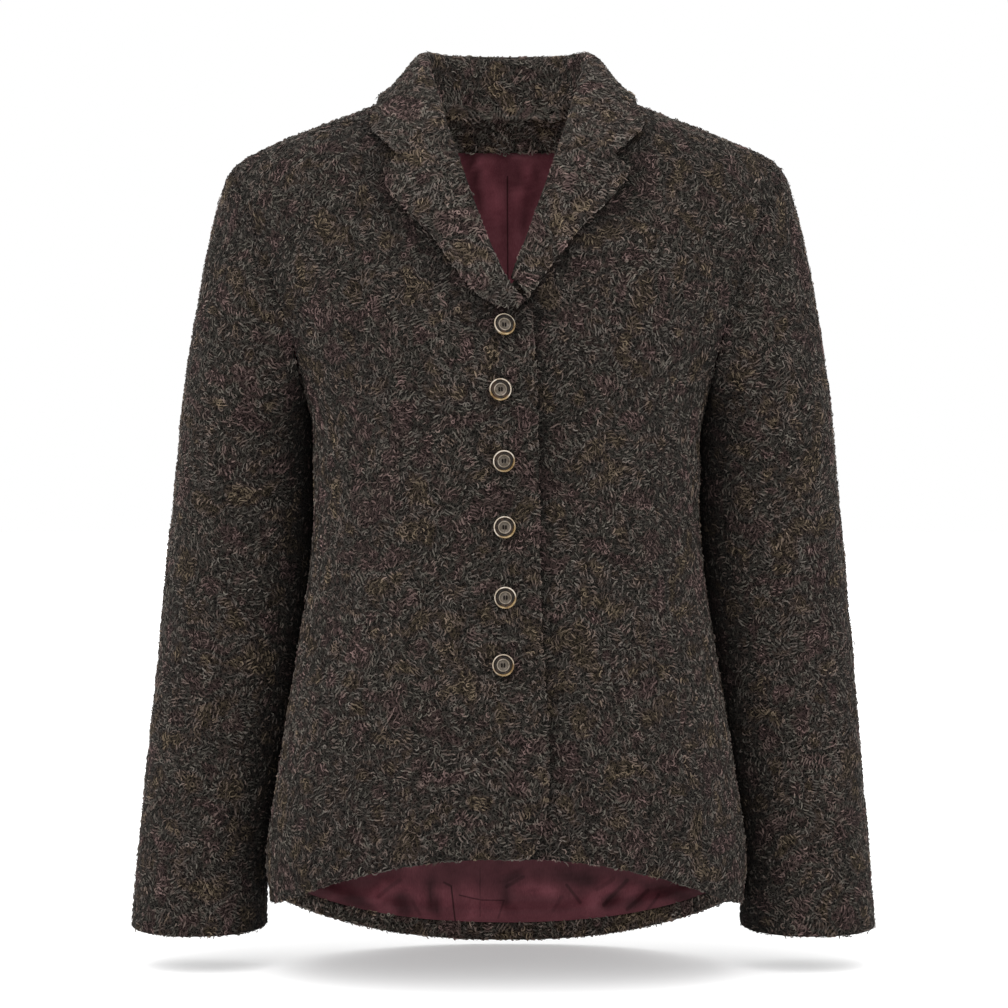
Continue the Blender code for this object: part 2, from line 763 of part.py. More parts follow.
def button_mesh():
    """A turned disc with a raised rim and ring, and a thread shank under it."""
    shape = bmesh.new()
    profile = [shape.verts.new((r * BUTTON_RADIUS, 0.0, h * BUTTON_RADIUS)) for r, h in BUTTON_PROFILE]
    shank = BUTTON_SHANK_RADIUS
    foot = SEAM - BUTTON_CLEARANCE
    profile += [shape.verts.new(point) for point in ((shank, 0, 0), (shank, 0, foot), (0, 0, foot))]
    edges = [shape.edges.new(pair) for pair in zip(profile, profile[1:])]
    bmesh.ops.spin(
        shape,
        geom=profile + edges,
        cent=(0, 0, 0),
        axis=(0, 0, 1),
        angle=math.tau,
        steps=BUTTON_SEGMENTS,
        use_merge=True,
    )
    bmesh.ops.remove_doubles(shape, verts=shape.verts[:], dist=1e-6)
    bmesh.ops.recalc_face_normals(shape, faces=shape.faces[:])
    if shape.calc_volume(signed=True) < 0:
        bmesh.ops.reverse_faces(shape, faces=shape.faces[:])
    mesh = bpy.data.meshes.new("button")
    shape.to_mesh(mesh)
    shape.free()
    mesh.shade_smooth()
    mesh.set_sharp_from_angle(angle=math.radians(50))
    return mesh


def buttons():
    for number, (across, height, sideways, upward) in enumerate(BUTTONS, start=1):
        made = add_object(f"button_{number}", button_mesh(), HORN, 0.25)
        normal = Vector(body_normal(-1, across, height))
        up = Vector((0, 0, 1))
        sideways_axis = up.cross(normal).normalized()
        upward_axis = normal.cross(sideways_axis)
        stand = Matrix((sideways_axis, upward_axis, normal)).transposed().to_4x4()
        lean = Matrix.Rotation(math.radians(sideways), 4, "Y")
        lean = lean @ Matrix.Rotation(math.radians(upward), 4, "X")
        place = Vector(body_point(-1, across, height)) + normal * BUTTON_CLEARANCE
        made.matrix_world = Matrix.Translation(place) @ stand @ lean


# ---------------------------------------------------------------- the jacket


def clear_scene():
    for thing in list(bpy.data.objects):
        bpy.data.objects.remove(thing)


clear_scene()
front(-1, "front_right")
front(1, "front_left")
back()
back_neck_facing()
back_lining()
lapel(-1, "lapel_right", LAPEL_RIGHT)
lapel(1, "lapel_left", LAPEL_LEFT)
collar()
sleeve(-1, "right")
sleeve(1, "left")
buttons()
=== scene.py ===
# %% [markdown]
# # A short tweed jacket, filled out with no wearer
# The real jacket is cut from a thick, curly wool tweed, turned out at the front into soft lapels
# and closed with six horn buttons. Its back is lined with burgundy satin. This lesson makes each
# piece the way a maker would: first the shape of the body, then the panels laid over it, then the
# sleeves, the collar, the lining and the buttons, and last the curls of wool that stand on the cloth.
# %% Load the frame that every piece is fitted to
import json
import math

import bpy
import numpy as np
from mathutils import Matrix, Vector, noise

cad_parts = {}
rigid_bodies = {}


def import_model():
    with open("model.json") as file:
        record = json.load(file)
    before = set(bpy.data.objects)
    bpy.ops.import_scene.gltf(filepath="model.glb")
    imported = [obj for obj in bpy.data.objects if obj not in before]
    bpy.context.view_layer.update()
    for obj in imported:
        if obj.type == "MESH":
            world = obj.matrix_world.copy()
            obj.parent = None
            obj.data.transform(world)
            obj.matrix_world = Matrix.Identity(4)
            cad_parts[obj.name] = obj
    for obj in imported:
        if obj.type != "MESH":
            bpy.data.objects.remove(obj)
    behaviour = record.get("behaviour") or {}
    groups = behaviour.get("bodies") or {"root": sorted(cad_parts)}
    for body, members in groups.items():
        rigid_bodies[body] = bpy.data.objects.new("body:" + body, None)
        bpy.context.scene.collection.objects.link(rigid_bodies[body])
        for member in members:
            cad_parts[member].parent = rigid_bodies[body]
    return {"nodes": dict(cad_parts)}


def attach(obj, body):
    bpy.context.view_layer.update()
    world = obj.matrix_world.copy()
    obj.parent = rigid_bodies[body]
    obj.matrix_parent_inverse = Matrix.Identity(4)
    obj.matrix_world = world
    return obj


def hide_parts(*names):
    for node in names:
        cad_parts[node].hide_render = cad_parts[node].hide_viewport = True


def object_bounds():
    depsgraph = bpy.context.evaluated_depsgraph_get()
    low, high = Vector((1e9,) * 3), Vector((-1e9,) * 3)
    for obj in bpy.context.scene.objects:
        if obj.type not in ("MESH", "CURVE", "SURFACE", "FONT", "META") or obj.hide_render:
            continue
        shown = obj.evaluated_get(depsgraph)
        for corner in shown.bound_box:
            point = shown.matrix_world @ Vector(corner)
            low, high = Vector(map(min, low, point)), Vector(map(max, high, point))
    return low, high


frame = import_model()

cad_low, cad_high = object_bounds()
print("frame holds", len(frame["nodes"]), "nodes,", "height", round(cad_high.z - cad_low.z, 4), "m")

# %% [markdown]
# ## The camera
# The picture was taken level with the middle of the jacket and straight on, from about two metres.
# A long lens keeps the sleeves and the front at nearly the same scale.
# %% Place the camera
CAMERA_PLACE = (-0.002, -2.0, -0.2917)
CAMERA_LENS = 91.6  # millimetres, on a sensor 36 mm wide


def deselect():
    """Operators act on all that is selected, so each piece starts with nothing selected."""
    if bpy.context.mode != "OBJECT":
        bpy.ops.object.mode_set(mode="OBJECT")
    bpy.ops.object.select_all(action="DESELECT")


deselect()
bpy.ops.object.camera_add(location=CAMERA_PLACE, rotation=(math.radians(90), 0, 0))
camera = bpy.context.object
camera.data.lens = CAMERA_LENS
camera.data.sensor_width = 36.0
bpy.context.scene.camera = camera
print("camera at", tuple(round(x, 3) for x in camera.location))

# %% [markdown]
# ## The studio
# The jacket hangs just over a white floor that is lit from below, as a light table is, so its shadow
# stays pale. A white sky lights it from all round, a little more from behind and from above, as a
# tent of cloth does in a studio, and one very broad lamp in front and above makes the shoulders and
# the collar a little brighter than the rest.
# %% Lay the floor and hang the lights
FLOOR_HEIGHT = cad_low.z - 0.004
FLOOR_GLOW, FLOOR_PAINT = 0.38, 0.72
SKY_IN_FRONT, SKY_BEHIND, SKY_ABOVE = 1.00, 1.15, 0.40
LAMP_FROM, LAMP_POWER, LAMP_BREADTH = (-0.15, -0.80, 1.20), 1.5, 50.0

deselect()
bpy.ops.mesh.primitive_plane_add(size=60.0, location=(0, 0, FLOOR_HEIGHT))
floor = bpy.context.object
floor.name = "floor"
floor_paint = bpy.data.materials.new("floor_paint")
floor_paint.use_nodes = True
paint = floor_paint.node_tree.nodes["Principled BSDF"].inputs
paint["Base Color"].default_value = (FLOOR_PAINT, FLOOR_PAINT, FLOOR_PAINT, 1)
paint["Roughness"].default_value, paint["Specular IOR Level"].default_value = 1.0, 0.0
paint["Emission Color"].default_value, paint["Emission Strength"].default_value = (1, 1, 1, 1), FLOOR_GLOW
floor.data.materials.append(floor_paint)

deselect()
bpy.ops.object.light_add(
    type="SUN", rotation=(-Vector(LAMP_FROM)).to_track_quat("-Z", "Y").to_euler())
lamp = bpy.context.object
lamp.name = "broad_lamp"
lamp.data.energy, lamp.data.angle = LAMP_POWER, math.radians(LAMP_BREADTH)

# The sky is plain white where it is seen. As a light it grows from front to back and upwards.
world = bpy.data.worlds.new("studio")
bpy.context.scene.world = world
world.use_nodes = True
sky = world.node_tree
direction = sky.nodes.new("ShaderNodeSeparateXYZ")
sky.links.new(sky.nodes.new("ShaderNodeTexCoord").outputs["Generated"], direction.inputs[0])
front_to_back = sky.nodes.new("ShaderNodeMapRange")
sky.links.new(direction.outputs["Y"], front_to_back.inputs["Value"])
sky_limits = {"From Min": -0.8, "From Max": 0.8, "To Min": SKY_IN_FRONT, "To Max": SKY_BEHIND}
for socket, value in sky_limits.items():
    front_to_back.inputs[socket].default_value = value
upward = sky.nodes.new("ShaderNodeMapRange")
sky.links.new(direction.outputs["Z"], upward.inputs["Value"])
upward.inputs["To Max"].default_value = SKY_ABOVE
total = sky.nodes.new("ShaderNodeMath")
sky.links.new(front_to_back.outputs["Result"], total.inputs[0])
sky.links.new(upward.outputs["Result"], total.inputs[1])
seen = sky.nodes.new("ShaderNodeMix")
sky.links.new(sky.nodes.new("ShaderNodeLightPath").outputs["Is Camera Ray"], seen.inputs["Factor"])
sky.links.new(total.outputs[0], seen.inputs["A"])
seen.inputs["B"].default_value = 1.0
sky.links.new(seen.outputs["Result"], sky.nodes["Background"].inputs["Strength"])
sky.nodes["Background"].inputs["Color"].default_value = (1, 1, 1, 1)
bpy.context.scene.view_settings.view_transform = "Standard"
print("floor at", round(FLOOR_HEIGHT, 4), "m")

# %% [markdown]
# ## Reading sizes from short tables
# The jacket's shape is written as short tables: a row for each height, with the half width and the
# depth in front and behind. Between the rows the sizes have to run on smoothly and without waves.
# A Hermite curve does that, when its slope at each row is no steeper than the rows beside it allow.
# %% Smooth curves through tables


def hermite(keys, values, slopes, at):
    """Values at any keys, along a curve with the given slope at each key."""
    at = np.clip(np.asarray(at, float), keys[0], keys[-1])
    low = np.clip(np.searchsorted(keys, at) - 1, 0, len(keys) - 2)
    width = np.diff(keys)[low][..., None]
    share = (at - keys[low])[..., None] / width
    rise = share**2 * (3 - 2 * share)
    start = slopes[low] * share * (1 - share) ** 2 * width
    end = slopes[low + 1] * share**2 * (1 - share) * width
    return values[low] * (1 - rise) + values[low + 1] * rise + start - end


def smooth(table, at):
    """The other columns of a table at any values of its first column, with no overshoot."""
    keys = table[:, 0]
    rises = np.diff(table[:, 1:], axis=0) / np.diff(keys)[:, None]
    before, after = rises[:-1], rises[1:]
    same_way = before * after > 0
    inner = np.where(same_way, 2 * before * after / np.where(same_way, before + after, 1), 0)
    return hermite(keys, table[:, 1:], np.vstack([rises[:1], inner, rises[-1:]]), at)


def between_rows(rows, at):
    """Smooth values between the rows of a table that is read by row number."""
    flat = rows.reshape(len(rows), -1)
    keys = np.arange(len(rows), dtype=float)
    return hermite(keys, flat, np.gradient(flat, axis=0), at).reshape(len(at), *rows.shape[1:])


def refined(grid, rows, columns):
    """A finer grid of points that runs smoothly through a coarse one."""
    grid = between_rows(grid, np.linspace(0, len(grid) - 1, rows))
    grid = between_rows(grid.swapaxes(0, 1), np.linspace(0, grid.shape[1] - 1, columns))
    return grid.swapaxes(0, 1)


def ease(share):
    """A soft step from nought to one, level at both ends."""
    share = np.clip(share, 0, 1)
    return share * share * (3 - 2 * share)


def unit(vectors):
    """The same directions with a length of one."""
    return vectors / np.maximum(np.linalg.norm(vectors, axis=-1, keepdims=True), 1e-12)


# %% [markdown]
# ## The body of the jacket
# A tailor pads and presses the cloth over a form. Here the form is a stack of level sections, each
# a superellipse: an ellipse with its sides a little squared, as a filled jacket's are. The same two
# functions give a point on it and the way out of it, for every panel that lies on it.
# %% The body's sections and the lines that cut the panels
CLOTH = 0.003
SECTION_POWER = 2.3
HEM_SIDE, HEM_RISE_FRONT, HEM_DROP_BACK = -0.599, 0.047, 0.0525
HEM_POWER_FRONT, HEM_POWER_BACK = 2.2, 1.4
HEM_BLEND_TOP = -0.400
HEM_TURN_UP, HEM_THICKNESS = 0.011, 0.0058
SEAM, SLEEVE_SEAM, LINING = 0.0003, 0.0005, 0.001
NECK_SIDE, NECK_DIP_BACK, NECK_BLEND_FOOT = 0.0280, 0.0045, -0.020
FACING_FOOT = -0.0045
BREAK, UNDERARM, SHOULDER_TIP = -0.148, -0.205, -0.033
LAP_DROP = 0.0040

# height, half width, depth in front, depth behind
BODY = np.array([
    (-0.660, 0.1800, 0.1260, 0.1240), (-0.599, 0.1830, 0.1250, 0.1220),
    (-0.570, 0.1860, 0.1245, 0.1200), (-0.5235, 0.1808, 0.1225, 0.1160),
    (-0.487, 0.1750, 0.1205, 0.1120), (-0.447, 0.1688, 0.1180, 0.1075),
    (-0.4025, 0.1615, 0.1155, 0.1020), (-0.367, 0.1560, 0.1140, 0.0980),
    (-0.303, 0.1495, 0.1145, 0.0950), (-0.257, 0.1490, 0.1190, 0.0985),
    (-0.234, 0.1508, 0.1220, 0.1020), (-0.205, 0.1580, 0.1250, 0.1070),
    (-0.175, 0.1745, 0.1245, 0.1110), (-0.150, 0.1870, 0.1220, 0.1125),
    (-0.120, 0.2010, 0.1170, 0.1125), (-0.090, 0.2125, 0.1090, 0.1105),
    (-0.065, 0.2190, 0.1010, 0.1070), (-0.045, 0.2195, 0.0935, 0.1020),
    (-0.038, 0.2170, 0.0905, 0.0995), (-0.033, 0.2135, 0.0885, 0.0980),
    (-0.0265, 0.2070, 0.0855, 0.0950), (-0.0205, 0.1960, 0.0825, 0.0925),
    (-0.0148, 0.1830, 0.0795, 0.0900), (-0.0035, 0.1560, 0.0735, 0.0850),
    (0.0100, 0.1205, 0.0650, 0.0785), (0.0180, 0.1000, 0.0585, 0.0745),
    (0.0280, 0.0720, 0.0480, 0.0690),
])
# height, distance from the middle in front, distance behind
ARMHOLE = np.array([
    (-0.205, 0.1580, 0.1580), (-0.203, 0.1578, 0.1580), (-0.194, 0.1580, 0.1590),
    (-0.172, 0.1615, 0.1645), (-0.148, 0.1690, 0.1720), (-0.118, 0.1790, 0.1808),
    (-0.090, 0.1890, 0.1895), (-0.065, 0.1985, 0.1985), (-0.045, 0.2070, 0.2070),
    (-0.037, 0.2110, 0.2110), (-0.033, 0.2135, 0.2135),
])
# height, distance past the middle: the front's edge below the lapel
FRONT_EDGE = np.array([
    (-0.556, 0.0040), (-0.554, 0.0100), (-0.548, 0.0180), (-0.537, 0.0240),
    (-0.518, 0.0285), (-0.490, 0.0308), (-0.460, 0.0308), (-0.420, 0.0276),
    (-0.350, 0.0246), (-0.290, 0.0240), (-0.200, 0.0215), (-0.148, 0.0182),
])
# height, distance from the middle: the front's edge above the break
NECK_EDGE = np.array([
    (-0.1480, -0.0182), (-0.1340, 0.0000), (-0.1180, 0.0100), (-0.0885, 0.0215),
    (-0.0545, 0.0335), (-0.0200, 0.0450), (-0.0020, 0.0515), (0.0050, 0.0565),
    (0.0150, 0.0640), (0.0240, 0.0700), (0.0280, 0.0718),
])


def body(facing, across, height):
    """Points on the outside of the body and the way out there. facing is -1 in front, 1 behind."""
    across, height = np.broadcast_arrays(np.asarray(across, float), np.asarray(height, float))
    step = 0.002
    column = 1 if facing < 0 else 2
    sizes = smooth(BODY, height)
    slopes = (smooth(BODY, height + step) - smooth(BODY, height - step)) / (2 * step)
    half, depth = sizes[..., 0], sizes[..., column]
    share = np.minimum(np.abs(across) / half, 1)
    run = (1 - share**SECTION_POWER) ** (1 / SECTION_POWER)
    points = np.stack([across, facing * depth * run, height], axis=-1)
    out = np.stack([
        np.copysign(share ** (SECTION_POWER - 1) / half, across),
        facing * run ** (SECTION_POWER - 1) / depth,
        -(share**SECTION_POWER) / half * slopes[..., 0]
        - run**SECTION_POWER / depth * slopes[..., column],
    ], axis=-1)
    return points, unit(out)


def turn_to_across(turn, height):
    """Distance from the middle at a turn round the section, 90 degrees being the side seam."""
    half = smooth(BODY, height)[..., 0]
    return np.copysign(half * np.abs(np.sin(turn)) ** (2 / SECTION_POWER), turn)


def across_to_turn(across, height):
    """The turn round the section at a distance from the middle."""
    half = smooth(BODY, height)[..., 0]
    share = np.minimum(np.abs(across) / half, 1)
    return np.copysign(np.arcsin(share ** (SECTION_POWER / 2)), across)


def side_turn(facing, level):
    """Where a panel ends: the side seam, the armhole or the shoulder seam."""
    across = smooth(ARMHOLE, level)[..., 0 if facing < 0 else 1]
    in_armhole = (level > UNDERARM) & (level < SHOULDER_TIP)
    return np.where(in_armhole, across_to_turn(across, level), math.pi / 2)


def bent_height(facing, turn, level):
    """A level row's true height: the lowest rows follow the hem and the top one the neckline."""
    cosine = np.abs(np.cos(turn))
    to_hem = np.clip((HEM_BLEND_TOP - level) / (HEM_BLEND_TOP - HEM_SIDE), 0, 1)
    if facing < 0:
        return level + to_hem * HEM_RISE_FRONT * cosine**HEM_POWER_FRONT
    to_neck = np.clip((level - NECK_BLEND_FOOT) / (NECK_SIDE - NECK_BLEND_FOOT), 0, 1)
    hem = to_hem * HEM_DROP_BACK * cosine**HEM_POWER_BACK
    return level - hem - to_neck**2 * NECK_DIP_BACK * cosine**2


def closer_to_ends(start, end, count):
    """Stops between two values that crowd together near both of them."""
    return start + (end - start) * (1 - np.cos(np.linspace(0, math.pi, count))) / 2


HEM_LEVELS = HEM_SIDE + np.array([0.0, 0.0013, 0.0035, 0.0070, 0.0100, 0.0112, 0.0125, 0.0165])
LEVELS = np.concatenate([
    HEM_LEVELS[:-1],
    np.linspace(HEM_LEVELS[-1], UNDERARM, 58)[:-1],
    closer_to_ends(UNDERARM, SHOULDER_TIP, 32)[:-1],
    np.linspace(SHOULDER_TIP, NECK_SIDE, 13),
])
print("rows up a panel:", len(LEVELS))

# %% [markdown]
# ## Finishes: wool tweed
# The yarn is a mix of grey-green, brown, maroon and ochre wool, and it is looped and brushed, so
# the cloth looks like a mat of small curls with dark gaps between them. Two finishes make it: one
# for the cloth itself, whose pattern of bent loops is drawn and raised by nodes, and one for the
# curls that stand on it. Both take their colour from the same slow noise in object space, so that
# a patch of ochre runs through the cloth and its curls alike. Numbers kept on the meshes do the
# rest: one holds painted light and shade for each place of the cloth, one sets a curl's hue off
# from the next, and one holds a curl's own random lightness times that painted light and shade.
# %% A helper for wiring nodes


def add_node(tree, kind, inputs=(), **settings):
    """Adds a node, sets what it is given, and wires in any output that is given as an input."""
    made = tree.nodes.new(kind)
    for name, value in settings.items():
        setattr(made, name, value)
    for name, value in dict(inputs).items():
        if isinstance(value, bpy.types.NodeSocket):
            tree.links.new(value, made.inputs[name])
        else:
            made.inputs[name].default_value = value
    return made


def ramp(tree, share, stops):
    """A colour ramp through (position, colour) stops."""
    made = add_node(tree, "ShaderNodeValToRGB", {"Fac": share})
    points = made.color_ramp.elements
    while len(points) < len(stops):
        points.new(1.0)
    for point, (position, colour) in zip(points, stops):
        point.position = position
        point.color = (*colour, 1)
    return made.outputs["Color"]


def sum_of(tree, first, second, operation="ADD"):
    """Two numbers joined by one operation of arithmetic."""
    return add_node(tree, "ShaderNodeMath", {0: first, 1: second}, operation=operation).outputs[0]


def new_finish(name, roughness, sockets=()):
    """A material with its node tree and its shader, whose sockets are set to plain values."""
    finish = bpy.data.materials.new(name)
    finish.use_nodes = True
    shader = finish.node_tree.nodes["Principled BSDF"]
    shader.inputs["Roughness"].default_value = roughness
    for socket, value in dict(sockets).items():
        shader.inputs[socket].default_value = value
    return finish, finish.node_tree, shader


# %% The wool's colours
WOOL = (
    (0.10, (0.0580, 0.0378, 0.0350)),  # maroon
    (0.30, (0.0520, 0.0385, 0.0330)),  # brown
    (0.44, (0.0415, 0.0382, 0.0315)),  # grey-green
    (0.56, (0.0455, 0.0392, 0.0345)),  # grey
    (0.70, (0.0525, 0.0385, 0.0325)),  # rust brown
    (0.90, (0.0600, 0.0455, 0.0305)),  # ochre
)


def stretched(tree, share):
    """A noise's middle values spread over the whole way from nought to one."""
    return add_node(tree, "ShaderNodeMapRange", {
        "Value": share, "From Min": 0.33, "From Max": 0.67,
    }).outputs["Result"]


def wool_colour(tree, place, own=None):
    """The wool's colour at a place, moved along the ramp by a curl's own share if it has one."""
    patch = add_node(tree, "ShaderNodeTexNoise", {
        "Vector": place, "Scale": 50.0, "Detail": 1.0, "Roughness": 0.5,
    }).outputs["Fac"]
    if own is None:
        own = stretched(tree, add_node(tree, "ShaderNodeTexNoise", {
            "Vector": place, "Scale": 240.0, "Detail": 1.0, "Roughness": 0.5,
        }).outputs["Fac"])
    share = sum_of(tree, sum_of(tree, stretched(tree, patch), 0.72, "MULTIPLY"),
                   sum_of(tree, own, 0.28, "MULTIPLY"))
    return ramp(tree, share, WOOL)


def times(tree, colour, factor):
    """A colour made lighter or darker by a number."""
    grey = add_node(tree, "ShaderNodeCombineXYZ", {"X": factor, "Y": factor, "Z": factor})
    made = add_node(tree, "ShaderNodeVectorMath", operation="MULTIPLY")
    tree.links.new(colour, made.inputs[0])
    tree.links.new(grey.outputs[0], made.inputs[1])
    return made.outputs[0]


# %% The cloth under the curls
def tweed_finish():
    finish, tree, shader = new_finish("tweed_cloth", 0.92, {
        "Sheen Weight": 0.015, "Sheen Roughness": 0.5, "Specular IOR Level": 0.04,
    })
    place = add_node(tree, "ShaderNodeTexCoord").outputs["Object"]
    bend = add_node(tree, "ShaderNodeTexNoise", {"Vector": place, "Scale": 300.0, "Detail": 2.0})
    pull = add_node(tree, "ShaderNodeVectorMath", operation="MULTIPLY_ADD")
    tree.links.new(bend.outputs["Color"], pull.inputs[0])
    pull.inputs[1].default_value = (0.0046,) * 3
    tree.links.new(place, pull.inputs[2])
    bent = pull.outputs[0]
    loops = add_node(tree, "ShaderNodeTexVoronoi", {
        "Vector": bent, "Scale": 330.0,
    }, feature="DISTANCE_TO_EDGE").outputs["Distance"]
    hairs = add_node(tree, "ShaderNodeTexVoronoi", {
        "Vector": bent, "Scale": 640.0,
    }, feature="DISTANCE_TO_EDGE").outputs["Distance"]
    loop_line = add_node(tree, "ShaderNodeMapRange", {
        "Value": loops, "From Min": 0.01, "From Max": 0.16, "To Min": 1.0, "To Max": 0.0,
    }).outputs["Result"]
    hair_line = add_node(tree, "ShaderNodeMapRange", {
        "Value": hairs, "From Min": 0.01, "From Max": 0.14, "To Min": 0.7, "To Max": 0.0,
    }).outputs["Result"]
    height = sum_of(tree, loop_line, hair_line, "MAXIMUM")
    gap = add_node(tree, "ShaderNodeTexNoise", {"Vector": place, "Scale": 210.0, "Detail": 2.0})
    height = sum_of(tree, height, gap.outputs["Fac"], "MULTIPLY")
    light = add_node(tree, "ShaderNodeMapRange", {
        "Value": height, "From Min": 0.05, "From Max": 0.50, "To Min": 0.05, "To Max": 0.75,
    }).outputs["Result"]
    # Painted light and shade, kept on the mesh as a number for each place.
    shade = add_node(tree, "ShaderNodeAttribute", attribute_name="shade").outputs["Fac"]
    colour = times(tree, wool_colour(tree, place), sum_of(tree, light, shade, "MULTIPLY"))
    tree.links.new(colour, shader.inputs["Base Color"])
    bump = add_node(tree, "ShaderNodeBump", {"Height": height, "Strength": 0.8, "Distance": 0.0012})
    tree.links.new(bump.outputs[0], shader.inputs["Normal"])
    return finish


tweed_cloth = tweed_finish()
print("cloth finish nodes:", len(tweed_cloth.node_tree.nodes))

# %% The curls' own finish
wool_curls, tree, shader = new_finish("wool_curls", 0.80, {
    "Sheen Weight": 0.015, "Sheen Roughness": 0.5, "Specular IOR Level": 0.10,
})
place = add_node(tree, "ShaderNodeTexCoord").outputs["Object"]
tint = add_node(tree, "ShaderNodeAttribute", attribute_name="tint").outputs["Fac"]
# A curl's own random lightness times the painted light and shade of its place.
tone_and_shade = add_node(tree, "ShaderNodeAttribute", attribute_name="tone_and_shade").outputs["Fac"]
tree.links.new(times(tree, wool_colour(tree, place, tint), tone_and_shade), shader.inputs["Base Color"])
print("curl finish nodes:", len(tree.nodes))

# %% [markdown]
# ## Finish: burgundy satin
# The lining is a satin, a weave whose long threads run one way and shine across themselves. Its
# colour is a deep burgundy that turns a little lighter where it slants away. Very fine lines follow
# the threads, and a slow noise stands for the way a lining is never quite flat. Sewn seams, and the
# painted shade in the step of the pleat and in the sharp ends of creases, are thinner than the mesh
# can show, so they are drawn as soft dark lines. A number kept on the mesh adds painted light and shade.
# %% Dark lines of seams, and painted shade in the lining's pleat and creases


def near_line(tree, place, start, end, width):
    """One on the straight line between two places (across, height), falling to nought beside it."""
    flat = add_node(tree, "ShaderNodeVectorMath", {0: place, 1: (1.0, 0.0, 1.0)}, operation="MULTIPLY")
    along = (end[0] - start[0], 0.0, end[1] - start[1])
    length = math.hypot(along[0], along[2])
    way = tuple(part / length for part in along)
    offset = add_node(tree, "ShaderNodeVectorMath", {0: flat.outputs[0], 1: (start[0], 0.0, start[1])},
                      operation="SUBTRACT").outputs[0]
    run = add_node(tree, "ShaderNodeVectorMath", {0: offset, 1: way}, operation="DOT_PRODUCT")
    run = run.outputs["Value"]
    run = sum_of(tree, sum_of(tree, run, 0.0, "MAXIMUM"), length, "MINIMUM")
    foot = add_node(tree, "ShaderNodeVectorMath", {0: way, 3: run}, operation="SCALE").outputs[0]
    gap = add_node(tree, "ShaderNodeVectorMath", {0: offset, 1: foot}, operation="DISTANCE").outputs["Value"]
    return add_node(tree, "ShaderNodeMapRange", {
        "Value": gap, "From Min": width * 0.3, "From Max": width, "To Min": 1.0, "To Max": 0.0,
    }, interpolation_type="SMOOTHSTEP").outputs["Result"]


# across, height at both ends, width, how dark; for seams and for painted shade in the pleat and creases
LINING_LINES = (
    (0.0007, -0.0250, 0.0011, -0.1117, 0.0009, 0.70),
    (0.0009, -0.1117, -0.0213, -0.5857, 0.0008, 0.40),
    (-0.0217, -0.5922, -0.0217, -0.6316, 0.0007, 0.30),
    (-0.0513, -0.6037, -0.0455, -0.6069, 0.0014, 0.55),
    (-0.0455, -0.6069, -0.0422, -0.6357, 0.0010, 0.75),
    (-0.0389, -0.6143, -0.0209, -0.6184, 0.0008, 0.62),
    (-0.0209, -0.6184, -0.0020, -0.6188, 0.0008, 0.55),
    (-0.0020, -0.6188, -0.0069, -0.6332, 0.0012, 0.35),
    (0.0139, -0.5992, 0.0002, -0.6074, 0.0022, 0.40),
    (0.0992, -0.6005, 0.0799, -0.6211, 0.0024, 0.45),
    (0.0879, -0.5994, 0.0747, -0.6085, 0.0026, 0.30),
    (0.0497, -0.6060, 0.0607, -0.6198, 0.0020, 0.45),
    (0.1157, -0.6074, 0.0992, -0.6239, 0.0022, 0.40),
    (0.1240, -0.6101, 0.1157, -0.6225, 0.0018, 0.40),
    (0.0387, -0.6267, 0.0456, -0.6157, 0.0024, 0.25),
    (-0.1043, -0.6126, -0.0878, -0.6003, 0.0026, 0.30),
    (-0.0713, -0.6291, -0.0771, -0.6184, 0.0022, 0.30),
)

# %% Satin
lining_satin, tree, shader = new_finish("lining_satin", 0.46, {
    "Sheen Weight": 0.05, "Sheen Roughness": 0.35, "Sheen Tint": (0.75, 0.35, 0.42, 1),
    "Specular IOR Level": 0.12,
})
place = add_node(tree, "ShaderNodeTexCoord").outputs["Object"]
along_threads = add_node(tree, "ShaderNodeMapping", {"Vector": place, "Scale": (1500.0, 1500.0, 260.0)})
threads = add_node(tree, "ShaderNodeTexNoise", {
    "Vector": along_threads.outputs[0], "Scale": 1.0, "Detail": 2.0,
}).outputs["Fac"]
slow = add_node(tree, "ShaderNodeTexNoise", {"Vector": place, "Scale": 70.0, "Detail": 2.0}).outputs["Fac"]
weave = sum_of(tree, sum_of(tree, threads, 0.4, "MULTIPLY"), sum_of(tree, slow, 0.6, "MULTIPLY"))
satin_colour = ramp(tree, weave, (
    (0.32, (0.112, 0.0300, 0.0395)), (0.50, (0.156, 0.0450, 0.0570)), (0.68, (0.202, 0.0620, 0.0775)),
))
# Dark lines: sewn seams, and painted shade in the pleat and the creases.
lines = 0.0
for first, first_height, second, second_height, width, dark in LINING_LINES:
    line = near_line(tree, place, (first, first_height), (second, second_height), width)
    lines = sum_of(tree, sum_of(tree, line, dark, "MULTIPLY"), lines, "MAXIMUM")
# Painted light and shade of the lining, kept on the mesh.
shade = add_node(tree, "ShaderNodeAttribute", attribute_name="shade").outputs["Fac"]
satin_light = sum_of(tree, sum_of(tree, 1.0, lines, "SUBTRACT"), shade, "MULTIPLY")
tree.links.new(times(tree, satin_colour, satin_light), shader.inputs["Base Color"])
bump = add_node(tree, "ShaderNodeBump", {
    "Height": sum_of(tree, weave, lines, "SUBTRACT"), "Strength": 0.25, "Distance": 0.0006,
})
tree.links.new(bump.outputs[0], shader.inputs["Normal"])
print("satin finish nodes:", len(tree.nodes))

